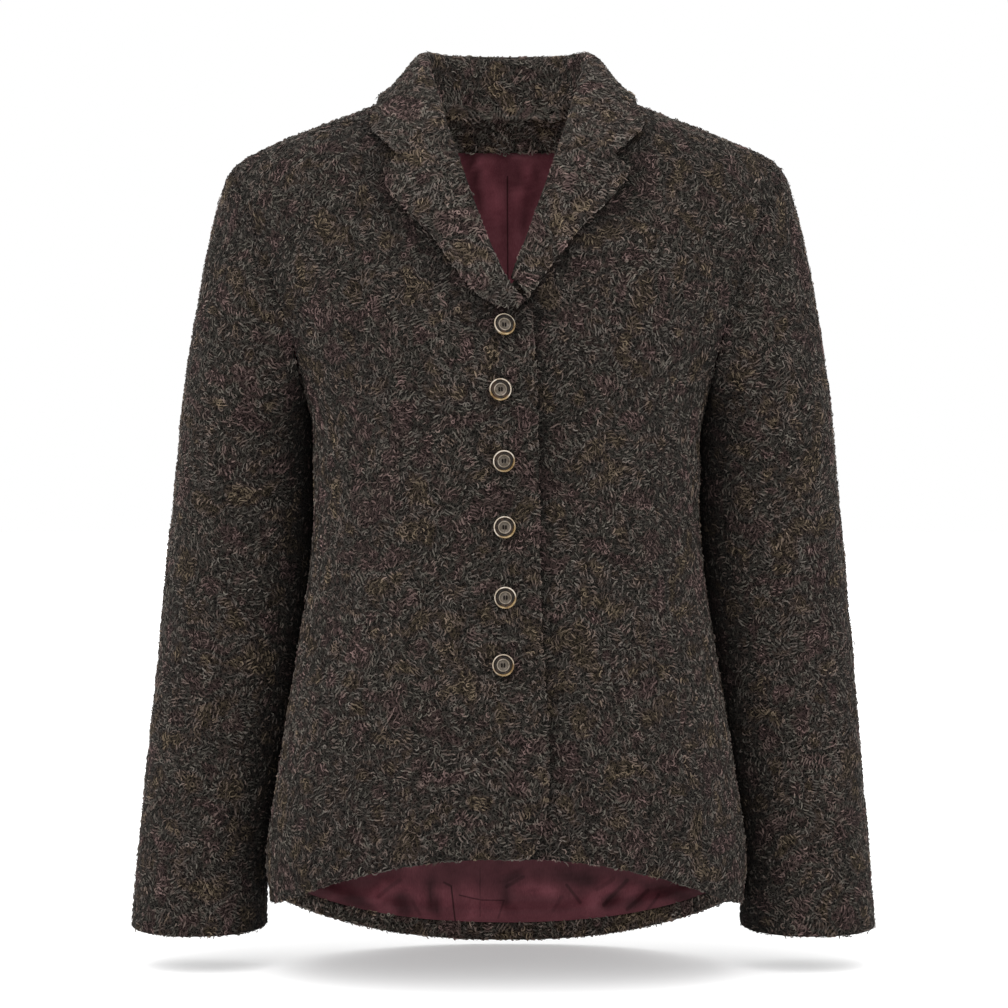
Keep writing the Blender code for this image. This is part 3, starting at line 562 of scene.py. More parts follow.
# %% [markdown]
# ## Finish: horn
# The buttons are turned from dark horn, nearly black in the grooves. A painted highlight makes the
# crest of the rim and the raised ring pale, and a painted amber glow lies on one side of the rim,
# where light comes through. Two numbers kept on the mesh, for the painted highlight and the painted
# glow, say which of the three shows. A thin clear coat on top keeps the highlights sharp. The
# thread that sews them on is dark brown, with its twist drawn as fine slanting lines.
# %% Horn and button thread
button_horn, tree, shader = new_finish("button_horn", 0.34, {
    "Coat Weight": 0.10, "Coat Roughness": 0.12, "Specular IOR Level": 0.14,
})
place = add_node(tree, "ShaderNodeTexCoord").outputs["Object"]
streaks = add_node(tree, "ShaderNodeTexNoise", {
    "Vector": place, "Scale": 150.0, "Detail": 3.0, "Distortion": 1.0,
}).outputs["Fac"]
dark_horn = ramp(tree, streaks, (
    (0.36, (0.0040, 0.0030, 0.0024)), (0.52, (0.0110, 0.0070, 0.0048)), (0.70, (0.0600, 0.0300, 0.0150)),
))
# Painted highlight: a pale cream horn for the rim's crest and the ring.
highlight_horn = ramp(tree, streaks, (
    (0.34, (0.360, 0.260, 0.170)), (0.48, (0.560, 0.470, 0.360)), (0.62, (0.760, 0.680, 0.580)),
))
# Painted glow: amber for the side of the rim where light comes through.
amber_glow_colour = ramp(tree, streaks, (
    (0.34, (0.090, 0.0420, 0.0120)), (0.50, (0.210, 0.130, 0.0420)), (0.66, (0.340, 0.240, 0.110)),
))
painted_highlight = add_node(tree, "ShaderNodeAttribute", attribute_name="painted_highlight").outputs["Fac"]
painted_glow = add_node(tree, "ShaderNodeAttribute", attribute_name="painted_glow").outputs["Fac"]
rest = sum_of(tree, sum_of(tree, 1.0, painted_highlight, "SUBTRACT"), painted_glow, "SUBTRACT")
horn_colour = times(tree, dark_horn, rest)
for colour, share in ((highlight_horn, painted_highlight), (amber_glow_colour, painted_glow)):
    horn_colour = add_node(tree, "ShaderNodeVectorMath", {
        0: horn_colour, 1: times(tree, colour, share),
    }).outputs[0]
tree.links.new(horn_colour, shader.inputs["Base Color"])
grain = add_node(tree, "ShaderNodeTexNoise", {
    "Vector": place, "Scale": 900.0, "Detail": 2.0,
}).outputs["Fac"]
bump = add_node(tree, "ShaderNodeBump", {"Height": grain, "Strength": 0.08, "Distance": 0.0003})
tree.links.new(bump.outputs[0], shader.inputs["Normal"])

button_thread, tree, shader = new_finish("button_thread", 0.8, {"Specular IOR Level": 0.05})
place = add_node(tree, "ShaderNodeTexCoord").outputs["Object"]
twist = add_node(tree, "ShaderNodeTexWave", {
    "Vector": place, "Scale": 900.0, "Distortion": 2.0,
}).outputs["Fac"]
tree.links.new(ramp(tree, twist, ((0.3, (0.003, 0.0025, 0.0025)), (0.7, (0.012, 0.009, 0.008)))),
               shader.inputs["Base Color"])
print("horn and thread finishes made")

# %% [markdown]
# ## Soft folds
# Wool this thick doesn't crease sharply. It rolls in shallow troughs and ridges where a sleeve bends
# and where the front is pulled by its buttons. Each fold is a row in a table: where it starts and
# ends on the cloth, how wide it is and how far it stands out, with a minus for a trough. A slow
# unevenness of half a millimetre, the lie of the cloth, goes on top.
# %% Fold tables and how they lift the cloth


def folded(folds, first, second):
    """How far the cloth stands out at places (first, second), from rows of straight soft folds."""
    lift = np.zeros(np.broadcast(first, second).shape)
    for start_first, start_second, end_first, end_second, width, height in folds:
        along_first, along_second = end_first - start_first, end_second - start_second
        length = math.hypot(along_first, along_second)
        off_first, off_second = first - start_first, second - start_second
        along = (off_first * along_first + off_second * along_second) / length**2
        aside = (off_first * along_second - off_second * along_first) / length
        ends = ease((along + 0.25) / 0.5) * ease((1.25 - along) / 0.5)
        lift = lift + height * np.exp(-((aside / width) ** 2)) * ends
    return lift


def unevenness(points, size, height, seed):
    """A slow random lift of the cloth, the same each time for the same seed."""
    flat = points.reshape(-1, 3) / size + seed * 7.31
    lift = np.array([noise.noise(Vector(place)) for place in flat])
    return height * lift.reshape(points.shape[:-1])


# across, height at the start; across, height at the end; width; lift. Across counts towards the
# panel's own side on the fronts, and towards the wearer's left on the back.
FRONT_FOLDS = (
    (0.150, -0.225, 0.075, -0.290, 0.012, -0.0018),
    (0.150, -0.255, 0.095, -0.330, 0.010, 0.0012),
    (0.125, -0.420, 0.150, -0.540, 0.020, 0.0024),
    (0.080, -0.450, 0.088, -0.560, 0.022, -0.0018),
    (0.060, -0.325, 0.110, -0.345, 0.011, -0.0010),
    (0.172, -0.100, 0.135, -0.165, 0.011, -0.0013),
)
BACK_FOLDS = (
    (-0.145, -0.235, -0.060, -0.290, 0.013, -0.0022),
    (0.140, -0.240, 0.070, -0.300, 0.012, -0.0020),
    (-0.100, -0.430, -0.120, -0.590, 0.024, 0.0028),
    (0.090, -0.440, 0.115, -0.600, 0.022, 0.0026),
    (0.010, -0.470, 0.000, -0.620, 0.026, -0.0022),
    (-0.120, -0.330, 0.110, -0.345, 0.012, -0.0014),
)
print("folds:", len(FRONT_FOLDS), "on each front,", len(BACK_FOLDS), "on the back")

# %% [markdown]
# ## Cloth with a thickness
# A panel is a flat grid whose points are laid over the body. Solidify gives it the wall behind, and
# a narrow bevel rounds the rim, because tweed this thick never folds to a sharp edge. The wall's
# own depth is then set point by point, so that a doubled hem can be thicker than the rest.
# %% Lay a grid over points and give it a wall


def outward(points, towards):
    """The way out of a grid of points, on the side that the given directions are on."""
    out = unit(np.cross(np.gradient(points, axis=0), np.gradient(points, axis=1)))
    return out * np.sign((out * towards).sum(axis=-1).mean())


def keep_numbers(mesh, name, values):
    """Keeps one number for each corner of a mesh, for a finish to read."""
    layer = mesh.attributes.get(name) or mesh.attributes.new(name, "FLOAT", "POINT")
    layer.data.foreach_set("value", np.asarray(values, dtype=np.float32))


def cloth_wall(name, outer, inner, finishes, inside=None, rounding=0.0008):
    """A closed wall of cloth between two grids of points. inside says which of the finishes the
    cells of the inner face take."""
    rows, columns = outer.shape[:2]
    deselect()
    bpy.ops.mesh.primitive_grid_add(x_subdivisions=columns - 1, y_subdivisions=rows - 1, size=1.0)
    piece = bpy.context.object
    piece.name = piece.data.name = name
    piece.data.vertices.foreach_set("co", outer.ravel())
    piece.data.update()
    for finish in finishes:
        piece.data.materials.append(finish)
    drawn = Vector(piece.data.polygons[0].normal)
    if drawn.dot(Vector(outer[0, 0] - inner[0, 0])) < 0:
        piece.data.flip_normals()
    solidify = piece.modifiers.new("thickness", "SOLIDIFY")
    solidify.thickness, solidify.offset = CLOTH, -1.0
    bpy.ops.object.modifier_apply(modifier=solidify.name)
    places = np.zeros(len(piece.data.vertices) * 3)
    piece.data.vertices.foreach_get("co", places)
    places = places.reshape(-1, 3)
    places[rows * columns:2 * rows * columns] = inner.reshape(-1, 3)
    piece.data.vertices.foreach_set("co", places.ravel())
    if inside is not None:
        cells = (rows - 1) * (columns - 1)
        numbers = np.zeros(len(piece.data.polygons), dtype=np.int32)
        numbers[cells:2 * cells] = inside.ravel()
        piece.data.polygons.foreach_set("material_index", numbers)
    bevel = piece.modifiers.new("soft_rim", "BEVEL")
    bevel.width, bevel.segments, bevel.limit_method = rounding, 2, "ANGLE"
    bevel.angle_limit, bevel.use_clamp_overlap = math.radians(60), False
    bpy.ops.object.modifier_apply(modifier=bevel.name)
    piece.data.shade_smooth()
    keep_numbers(piece.data, "shade", np.ones(len(piece.data.vertices)))
    return piece


def centred(grid):
    """The middle of each cell of a grid of numbers."""
    return (grid[:-1, :-1] + grid[1:, :-1] + grid[:-1, 1:] + grid[1:, 1:]) / 4


# %% [markdown]
# ## The fronts
# Each front is one panel from the side seam to the buttoned edge, and from the shoulder to the hem.
# Below the lapel the right front passes over the left one, so the left one lies a cloth's thickness
# deeper there. Inside, a tweed facing runs along the edge and the hem is turned up; the rest is lined.
# %% Points over a front
FRONT_COLUMNS = 42


def lap_drop(side, across, height):
    """How far the left front is let in where the right one covers it."""
    if side < 0:
        return np.zeros(np.shape(across))
    down = ease((-0.080 - height) / 0.035)
    return -LAP_DROP * down * (1 - ease((across - 0.036) / 0.026))


def front_lift(side, across, height):
    """Folds and unevenness of a front, none where the fronts lap and under the lapels."""
    points, _ = body(-1, side * across, height)
    lift = folded(FRONT_FOLDS, across + 0.004 * side, height + 0.006 * side)
    lift = lift + unevenness(points, 0.030, 0.0008, 3 + side)
    clear_of_lap = ease((across - 0.030) / 0.025)
    clear_of_lapel = np.maximum(ease((across - 0.105) / 0.03), ease((-0.150 - height) / 0.03))
    return lift * clear_of_lap * clear_of_lapel


def over_front(side, across, height, above):
    """Points over a front, at distances from the middle counted towards the front's own side."""
    points, out = body(-1, side * across, height)
    above = above + lap_drop(side, across, height) + front_lift(side, across, height)
    return points + out * above[..., None], out


def front_places():
    """The distance from the middle and the height of every point of a front's grid."""
    levels = np.append(LEVELS[:-1], NECK_SIDE - 0.0015)[:, None]
    top = bent_height(-1, 0.0, levels)
    below_break = -smooth(FRONT_EDGE, top)[..., 0]
    start = np.where(top <= BREAK, below_break, smooth(NECK_EDGE, top)[..., 0])
    first, last = across_to_turn(start, top), side_turn(-1, levels)
    turns = first + (last - first) * np.linspace(0, 1, FRONT_COLUMNS)
    height = bent_height(-1, turns, levels)
    return turn_to_across(turns, height), height


# %% Make the two fronts
WOOLLY = {}  # what will carry curls: a piece's name and its woolly faces and edges
front_edges, lapel_edges = {}, {}  # lines beside which the cloth lies in shadow
across, height = front_places()
facing_inside = centred(across) < 0.052
turned_up = centred(height - height[0]) < 0.030
front_inside = np.where(facing_inside | turned_up, 0, 1)
for side, word in ((-1, "right"), (1, "left")):
    outer, out = over_front(side, across, height, np.zeros(across.shape))
    inner, _ = over_front(side, across, height, np.full(across.shape, -CLOTH))
    front = cloth_wall(word + "_front", outer, inner, (tweed_cloth, lining_satin), front_inside)
    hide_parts("front_" + word)
    shown = height[:, 0] < BREAK
    front_edges[word] = outer[shown, 0]
    WOOLLY["front_" + word] = {
        "faces": [(outer, out)],
        "edges": [
            (outer[0], out[0], outer[0] - outer[1]),
            (outer[shown, 0], out[shown, 0], (outer[:, 0] - outer[:, 1])[shown]),
        ],
        "slot": "tweed", "pieces": [front],
    }
    print(front.name, "has", len(front.data.polygons), "faces")

# %% [markdown]
# ## The back
# The back is one wide panel. Only its turned-up hem shows in the picture, below the lining, so that
# strip is twice as thick as the rest. Across the neck, on the inside, lies a facing of the same
# tweed, and from there down hangs the lining.
# %% Points under the back's outside
BACK_COLUMNS = 57


def back_places(levels, columns):
    levels = levels[:, None]
    turns = side_turn(1, levels) * np.linspace(-1, 1, columns)
    height = bent_height(1, turns, levels)
    return turn_to_across(turns, height), height


def under_back(across, height, depth, lift=0.0):
    """Points at a depth under the back's outside, and the way out there."""
    points, out = body(1, across, height)
    return points + out * (lift - depth)[..., None], out


# %% Make the back
across, height = back_places(LEVELS, BACK_COLUMNS)
levels = np.broadcast_to(LEVELS[:, None], across.shape)
back_lift = folded(BACK_FOLDS, across, height) + unevenness(body(1, across, height)[0], 0.030, 0.0008, 9)
back_lift = back_lift * ease((-0.060 - height) / 0.05)
double = 1 - ease((levels - HEM_SIDE - HEM_TURN_UP) / 0.0014)
outer, out = under_back(across, height, np.zeros(across.shape), back_lift)
inner, _ = under_back(across, height, CLOTH + (HEM_THICKNESS - CLOTH) * double, back_lift)
back = cloth_wall("back_panel", outer, inner, (tweed_cloth,))
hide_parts("back")
turn_up_rows = LEVELS <= HEM_SIDE + HEM_TURN_UP + 0.0003
WOOLLY["back"] = {
    "faces": [(outer, out)],
    "inside": [(inner[turn_up_rows], -out[turn_up_rows])],
    "edges": [(outer[0], out[0], outer[0] - outer[1]), (inner[0], -out[0], outer[0] - outer[1])],
    "slot": "tweed", "pieces": [back],
}
print("back has", len(back.data.polygons), "faces")

# %% The facing inside the back of the neck
facing_levels = np.linspace(FACING_FOOT + SEAM, NECK_SIDE, 10)
across, height = back_places(facing_levels, BACK_COLUMNS)
height[-1] += 0.0016  # up against the collar's seam
depth = np.full(across.shape, CLOTH + SEAM)
outer, out = under_back(across, height, depth)
bulk = 0.0050 * ease((facing_levels - NECK_SIDE + 0.013) / 0.011)[:, None]
bulk = bulk * (1 - ease((np.abs(across) - 0.040) / 0.022))  # the turned-in edges of the collar's seam
inner, _ = under_back(across, height, depth + CLOTH + bulk)
neck_facing = cloth_wall("neck_facing", outer, inner, (tweed_cloth,))
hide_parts("back_neck_facing")
facing_top = inner[-1]
WOOLLY["back_neck_facing"] = {
    "faces": [], "inside": [(inner, -out)],
    "edges": [(inner[0], -out[0], inner[0] - inner[1])],
    "slot": "tweed", "pieces": [neck_facing],
}
print("facing has", len(neck_facing.data.polygons), "faces")

# %% [markdown]
# ## The lining
# A lining is cut larger than the coat it is in, so it never pulls. The spare width lies in a pleat
# down the middle of the back, and the spare length drops in a soft roll above the hem, where it
# wrinkles. Both are modelled: the pleat as a step in the depth of the cloth, the wrinkles as ridges
# and troughs of uneven length. Satin shows a fold more by its light than by its depth, so the same
# table also paints the ridges lighter and the troughs darker, as painted light and shade.
# %% Make the lining
LINING_FOOT = HEM_SIDE + HEM_TURN_UP + 0.0005
lining_levels = np.concatenate([
    LINING_FOOT + np.array([0.0, 0.0012, 0.0028, 0.0048, 0.0072, 0.0100, 0.0132]),
    np.linspace(LINING_FOOT + 0.0165, LINING_FOOT + 0.075, 18),
    np.linspace(LINING_FOOT + 0.083, -0.140, 30),
    np.linspace(-0.135, FACING_FOOT, 34),
])
LINING_COLUMNS = 105
# Painted light: a fold's ridge is painted lighter and its trough darker.
RIDGE_LIGHT = 380.0  # how much lighter the satin is for each metre that a fold stands out
across, height = back_places(lining_levels, LINING_COLUMNS)
# across, height at the start; across, height at the end; width; how far it stands into the jacket
LINING_FOLDS = (
    (-0.0293, -0.0073, -0.0253, -0.0250, 0.0036, -0.0018),
    (-0.0253, -0.0250, -0.0221, -0.0515, 0.0036, -0.0014),
    (-0.0132, -0.0298, -0.0052, -0.0595, 0.0075, 0.0020),
    (0.0052, -0.0105, 0.0109, -0.0346, 0.0020, -0.0016),
    (0.0245, -0.0169, 0.0133, -0.0700, 0.0036, -0.0014),
    (0.0173, -0.0193, 0.0084, -0.0475, 0.0050, 0.0014),
    (-0.0213, -0.0113, -0.0149, -0.0274, 0.0050, 0.0014),
    (0.0004, -0.0073, 0.0012, -0.1053, 0.0016, -0.0008),
    (-0.1104, -0.6168, -0.0939, -0.6020, 0.0055, 0.0026),
    (-0.0939, -0.6020, -0.0767, -0.6028, 0.0050, 0.0020),
    (-0.0767, -0.6028, -0.0677, -0.6193, 0.0055, 0.0020),
    (-0.1325, -0.6110, -0.1079, -0.6217, 0.0060, -0.0016),
    (-0.0890, -0.6135, -0.0808, -0.6299, 0.0060, -0.0022),
    (-0.0644, -0.6037, -0.0570, -0.6299, 0.0045, -0.0020),
    (-0.0537, -0.6061, -0.0480, -0.6250, 0.0060, 0.0020),
    (-0.0316, -0.6004, -0.0274, -0.6332, 0.0060, 0.0014),
    (0.0103, -0.5955, -0.0028, -0.6069, 0.0040, -0.0022),
    (-0.0028, -0.6069, 0.0005, -0.6234, 0.0040, -0.0020),
    (0.0070, -0.6037, 0.0440, -0.6110, 0.0055, 0.0020),
    (0.0900, -0.6040, 0.0640, -0.6230, 0.0060, 0.0018),
    (0.0992, -0.6005, 0.0799, -0.6211, 0.0050, -0.0020),
    (0.0768, -0.6037, 0.1179, -0.6110, 0.0055, 0.0020),
    (0.1157, -0.6074, 0.0992, -0.6239, 0.0045, -0.0018),
    (0.1096, -0.6037, 0.1507, -0.6110, 0.0050, -0.0016),
    (0.0440, -0.5971, 0.0768, -0.6037, 0.0060, -0.0014),
    (-0.0217, -0.6209, -0.0053, -0.6266, 0.0050, 0.0012),
    (-0.0900, -0.5600, -0.0750, -0.6000, 0.0070, 0.0020),
    (0.1000, -0.5550, 0.1200, -0.6000, 0.0070, 0.0018),
)
above_foot = np.broadcast_to((lining_levels - LINING_FOOT)[:, None], across.shape)
top_of_lining = np.broadcast_to((FACING_FOOT - lining_levels)[:, None], across.shape)
pleat = 0.0022 * ease((across - 0.0010) / 0.0026) * (1 - ease((across - 0.010) / 0.020))
roll = 0.0040 * np.exp(-(((above_foot - 0.006) / 0.0055) ** 2))
wrinkles = folded(LINING_FOLDS, across, height)
wrinkles = wrinkles + unevenness(body(1, across, height)[0], 0.016, 0.0009, 21) * ease((-0.40 - height) / 0.1)
into_jacket = (pleat + wrinkles) * ease(top_of_lining / 0.008) * ease(above_foot / 0.004) + roll
side_ease = ease((1 - np.abs(np.linspace(-1, 1, LINING_COLUMNS))) / 0.04)
into_jacket = np.maximum(into_jacket, -0.0001) * side_ease
cloth_lift = folded(BACK_FOLDS, across, height) + unevenness(body(1, across, height)[0], 0.030, 0.0008, 9)
cloth_lift = cloth_lift * ease((-0.060 - height) / 0.05)
outer, out = under_back(across, height, CLOTH + SEAM + into_jacket, cloth_lift)
inner, _ = under_back(across, height, CLOTH + SEAM + LINING + into_jacket, cloth_lift)
lining = cloth_wall("satin_lining", outer, inner, (lining_satin,), rounding=0.0003)
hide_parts("lining_back")
corners = np.array([corner.co for corner in lining.data.vertices])
sides, heights = np.abs(corners[:, 0]), corners[:, 2]
# Painted shade: the lining is darker low down, under the front's hem and towards its ends, and painted light
# and shade follow the folds.
low_down = ease((-0.30 - heights) / 0.2)
under_front = ease((heights + 0.612) / 0.012) * low_down
far_out = ease((sides - 0.105) / 0.06) * low_down
folds_light = 1 + RIDGE_LIGHT * folded(LINING_FOLDS, corners[:, 0], heights)
light = (1.08 - 0.30 * low_down) * (1 - 0.30 * under_front) * (1 - 0.45 * far_out)
keep_numbers(lining.data, "shade", light * np.clip(folds_light, 0.45, 1.6))
print("lining has", len(lining.data.polygons), "faces")

# %% [markdown]
# ## The lapels
# A lapel is the top of the front's facing, turned out and rolled over the front's edge. Its section
# is read from a table: it comes up from inside the front, wraps round the edge and lies down on the
# front, a little above it. The roll is soft, because nothing presses it flat.
# %% The lapels' tables
# The roll line and the outer edge, from the collar down: the distance from the middle and height.
LAPEL_RIGHT = np.array([
    (0.0460, -0.0022, 0.0911, -0.0431), (0.0400, -0.0200, 0.0878, -0.0570),
    (0.0343, -0.0370, 0.0792, -0.0689), (0.0285, -0.0545, 0.0672, -0.0820),
    (0.0225, -0.0715, 0.0552, -0.0945), (0.0165, -0.0885, 0.0445, -0.1090),
    (0.0105, -0.1030, 0.0345, -0.1230), (0.0045, -0.1165, 0.0240, -0.1355),
    (-0.0020, -0.1285, 0.0130, -0.1440), (-0.0085, -0.1370, 0.0020, -0.1475),
    (-0.0150, -0.1425, -0.0085, -0.1480),
])
LAPEL_LEFT = np.array([
    (0.0460, -0.0022, 0.0911, -0.0431), (0.0400, -0.0200, 0.0856, -0.0550),
    (0.0343, -0.0370, 0.0760, -0.0665), (0.0285, -0.0545, 0.0640, -0.0785),
    (0.0225, -0.0715, 0.0520, -0.0910), (0.0165, -0.0885, 0.0412, -0.1045),
    (0.0120, -0.1005, 0.0322, -0.1165), (0.0075, -0.1110, 0.0245, -0.1270),
    (0.0050, -0.1180, 0.0200, -0.1340), (0.0032, -0.1240, 0.0158, -0.1396),
])
# Distance from the roll line, share of the lapel's width, the same two for the inner face, and the
# heights of the outer and the inner face over the front.
LAPEL_SECTION = np.array([
    (0.0000, 0.00, 0.0028, 0.00, -0.0030, -0.0030),
    (0.0000, 0.00, 0.0028, 0.00, 0.0012, 0.0008),
    (0.0012, 0.00, 0.0033, 0.00, 0.0040, 0.0018),
    (0.0045, 0.00, 0.0050, 0.00, 0.0054, 0.0024),
    (0.0030, 0.30, 0.0030, 0.30, 0.0056, 0.0026),
    (0.0000, 0.70, 0.0000, 0.70, 0.0050, 0.0020),
    (0.0000, 1.00, 0.0000, 1.00, 0.0045, 0.0014),
])


# %% Make the lapels
def lapel_grids(side, rows):
    rows = between_rows(rows, np.linspace(0, len(rows) - 1, 48))[:, None, :]
    stops = np.concatenate([np.linspace(0, 3, 13), np.linspace(3.15, 6, 20)])
    section = between_rows(LAPEL_SECTION, stops)[None]
    roll_across, roll_height, edge_across, edge_height = np.moveaxis(rows, -1, 0)
    width = np.hypot(edge_across - roll_across, edge_height - roll_height)
    room = np.minimum(1.0, width / 0.022)
    grids = []
    for near, share, over in ((0, 1, 4), (2, 3, 5)):
        run = section[..., share] + section[..., near] * room / width
        across = roll_across + (edge_across - roll_across) * run
        height = roll_height + (edge_height - roll_height) * run
        over = np.broadcast_to(section[..., over], across.shape)
        grids.append(over_front(side, across, height, over)[0])
    return grids


for side, word, rows in ((-1, "right", LAPEL_RIGHT), (1, "left", LAPEL_LEFT)):
    outer, inner = lapel_grids(side, rows)
    out = outward(outer, outer - inner)
    lapel = cloth_wall(word + "_lapel", outer, inner, (tweed_cloth,))
    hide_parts("lapel_" + word)
    lapel_edges[word] = refined(outer[:, -2:], 110, 2)[:, -1]
    WOOLLY["lapel_" + word] = {
        "faces": [(outer[:, 6:], out[:, 6:])],
        "edges": [(outer[:, -1], out[:, -1], outer[:, -1] - outer[:, -2])],
        "slot": "tweed", "pieces": [lapel],
    }
    print(lapel.name, "has", len(lapel.data.polygons), "faces")

# %% [markdown]
# ## The collar
# The collar stands up from the neck seam, rolls over and falls on the shoulders. It is drawn as a
# row of sections from the middle of the back to the front, each one a curve up the stand, over the
# roll and down the fall, and the last one meets the top edge of the lapel, which leaves the notch.
# %% The collar's tables
# The foot of the stand and the crest of the roll, then the edge of the fall as a distance from the
# middle, a height and a side of the shoulder seam, and how full the fall is.
COLLAR = (
    (0.0000, 0.0632, 0.0245, 0.0000, 0.0720, 0.0690, 0.0000, 0.0020, 1, 1.0),
    (0.0240, 0.0605, 0.0248, 0.0265, 0.0680, 0.0688, 0.0370, 0.0030, 1, 1.0),
    (0.0450, 0.0485, 0.0256, 0.0465, 0.0545, 0.0672, 0.0700, 0.0060, 1, 1.0),
    (0.0600, 0.0290, 0.0268, 0.0590, 0.0320, 0.0650, 0.0900, 0.0120, 1, 1.0),
    (0.0655, 0.0090, 0.0275, 0.0632, 0.0100, 0.0620, 0.0965, 0.0180, 1, 1.0),
    (0.0640, -0.0120, 0.0240, 0.0637, -0.0120, 0.0560, 0.0960, 0.0165, -1, 1.0),
    (0.0590, -0.0320, 0.0160, 0.0620, -0.0320, 0.0450, 0.0980, 0.0050, -1, 0.9),
    (0.0535, -0.0470, 0.0070, 0.0583, -0.0470, 0.0300, 0.1014, -0.0102, -1, 0.7),
    (0.0490, -0.0575, 0.0000, 0.0530, -0.0590, 0.0150, 0.0910, -0.0220, -1, 0.5),
)
COLLAR_CLOTH, COLLAR_CLEARANCE, NOTCH_SHARE = 0.0036, 0.0030, 0.745
# The front end: distance from the roll line and height over the front of the outer face, the same
# two for the inner face, and the share of the lapel's width of both.
COLLAR_END = np.array([
    (0.0000, -0.0030, 0.0028, -0.0030, 0.00), (0.0000, -0.0012, 0.0028, -0.0012, 0.00),
    (0.0000, 0.0006, 0.0028, 0.0004, 0.00), (0.0006, 0.0026, 0.0032, 0.0014, 0.00),
    (0.0022, 0.0046, 0.0040, 0.0020, 0.00), (0.0055, 0.0056, 0.0060, 0.0024, 0.00),
    (0.0000, 0.0058, 0.0000, 0.0026, 0.25), (0.0000, 0.0056, 0.0000, 0.0024, 0.42),
    (0.0000, 0.0052, 0.0000, 0.0020, 0.60), (0.0000, 0.0050, 0.0000, 0.0018, NOTCH_SHARE),
])


# %% Sections of the collar
def bezier(start, first, second, end, share):
    rest = 1 - share
    return (start * rest**3 + first * 3 * rest * rest * share
            + second * 3 * rest * share * share + end * share**3)


def collar_section(foot, crest, edge, edge_normal, fullness):
    """Points from the foot of the stand over the roll to the edge of the fall."""
    outward_way = unit((edge - foot) * (1, 1, 0))
    roll = outward_way * 0.0085 * fullness
    rise = np.array((0, 0, (crest[2] - foot[2]) * 0.7))
    downhill = unit(np.cross(np.cross(edge_normal, crest - edge), edge_normal))
    fall = downhill * np.linalg.norm(edge - crest) * 0.38
    stand = [bezier(foot, foot + rise, crest - roll, crest, at) for at in (0, 0.3, 0.6, 0.82, 1)]
    return stand + [
        bezier(crest, crest + roll * 1.4, edge + fall, edge, at) for at in (0.16, 0.34, 0.55, 0.78, 1)
    ]


sections = []
for *places, across, height, side_of_seam, fullness in COLLAR:
    points, out = body(side_of_seam, across, height)
    edge = points + out * (COLLAR_CLOTH + COLLAR_CLEARANCE)
    sections.append(collar_section(np.array(places[:3]), np.array(places[3:]), edge, out, fullness))
roll_across, roll_height, edge_across, edge_height = LAPEL_RIGHT[0]
lapel_width = math.hypot(edge_across - roll_across, edge_height - roll_height)
ends = []
for near, above in ((0, 1), (2, 3)):
    run = COLLAR_END[:, 4] + COLLAR_END[:, near] / lapel_width
    across = roll_across + (edge_across - roll_across) * run
    height = roll_height + (edge_height - roll_height) * run
    ends.append(over_front(1, across, height, COLLAR_END[:, above])[0] + (0, 0, SEAM))
sections.append(ends[0])
print("collar sections on each side:", len(sections))

# %% Make the collar
half = np.array(sections)
half_normals = unit(np.cross(np.gradient(half, axis=0), np.gradient(half, axis=1)))
half_inner = half - half_normals * COLLAR_CLOTH
half_inner[-1] = ends[1]
mirror = np.array((-1.0, 1.0, 1.0))
outer = refined(np.concatenate([half[::-1], half[1:] * mirror]), 115, 40)
inner = refined(np.concatenate([half_inner[::-1], half_inner[1:] * mirror]), 115, 40)
out = outward(outer, outer - inner)
collar = cloth_wall("notched_collar", outer, inner, (tweed_cloth,), rounding=0.0010)
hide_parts("collar")
collar_edge = outer[:, -1]
collar_foot = outer[outer[:, 0, 1] > 0.025, 0]  # only the part behind the neck
WOOLLY["collar"] = {
    "faces": [(outer, out)],
    "edges": [
        (outer[:, -1], out[:, -1], outer[:, -1] - outer[:, -2]),
        (outer[:, 0], out[:, 0], outer[:, 0] - outer[:, 1]),
        (outer[0, 20:], out[0, 20:], (outer[0] - outer[1])[20:]),
        (outer[-1, 20:], out[-1, 20:], (outer[-1] - outer[-2])[20:]),
    ],
    "slot": "tweed", "pieces": [collar],
}
print("collar has", len(collar.data.polygons), "faces")

# %% [markdown]
# ## The sleeves
# A tailored sleeve is a tube that starts from the armhole. At the top its head carries the line of
# the shoulder on and then drops, and under the arm the cloth folds back down beside the body. Each
# tube is cut as two pieces: the top sleeve, which shows, and the narrower under sleeve. Its rings
# blend from the armhole's own loop to the level ovals in a table.
# %% The sleeves' tables
# height, outer and inner distance from the middle, half depth, how far behind the side seams
SLEEVE = np.array([
    (-0.6225, 0.2925, 0.1868, 0.0420, 0.022), (-0.5700, 0.2886, 0.1862, 0.0440, 0.026),
    (-0.5235, 0.2850, 0.1800, 0.0465, 0.030), (-0.4870, 0.2821, 0.1735, 0.0490, 0.033),
    (-0.4470, 0.2785, 0.1665, 0.0520, 0.036), (-0.4025, 0.2746, 0.1590, 0.0555, 0.038),
    (-0.3670, 0.2712, 0.1537, 0.0585, 0.038), (-0.3340, 0.2682, 0.1512, 0.0615, 0.036),
    (-0.2890, 0.2626, 0.1490, 0.0640, 0.032), (-0.2450, 0.2575, 0.1488, 0.0640, 0.021),
])
CUFF, SLEEVE_TOP = SLEEVE[0, 0], SLEEVE[-1, 0]
SLEEVE_LEAN, CUFF_DIP, CAP_EASE, FOLDED_SHARE = 0.0024, 0.0035, 0.050, 0.42
SLEEVE_POWER = 2.15  # 2 is an ellipse; more is squarer
SEAM_HEIGHT_FRONT, SEAM_HEIGHT_BACK = -0.172, -0.118
DEGREE = 0.001  # a degree counts as a millimetre round the sleeve
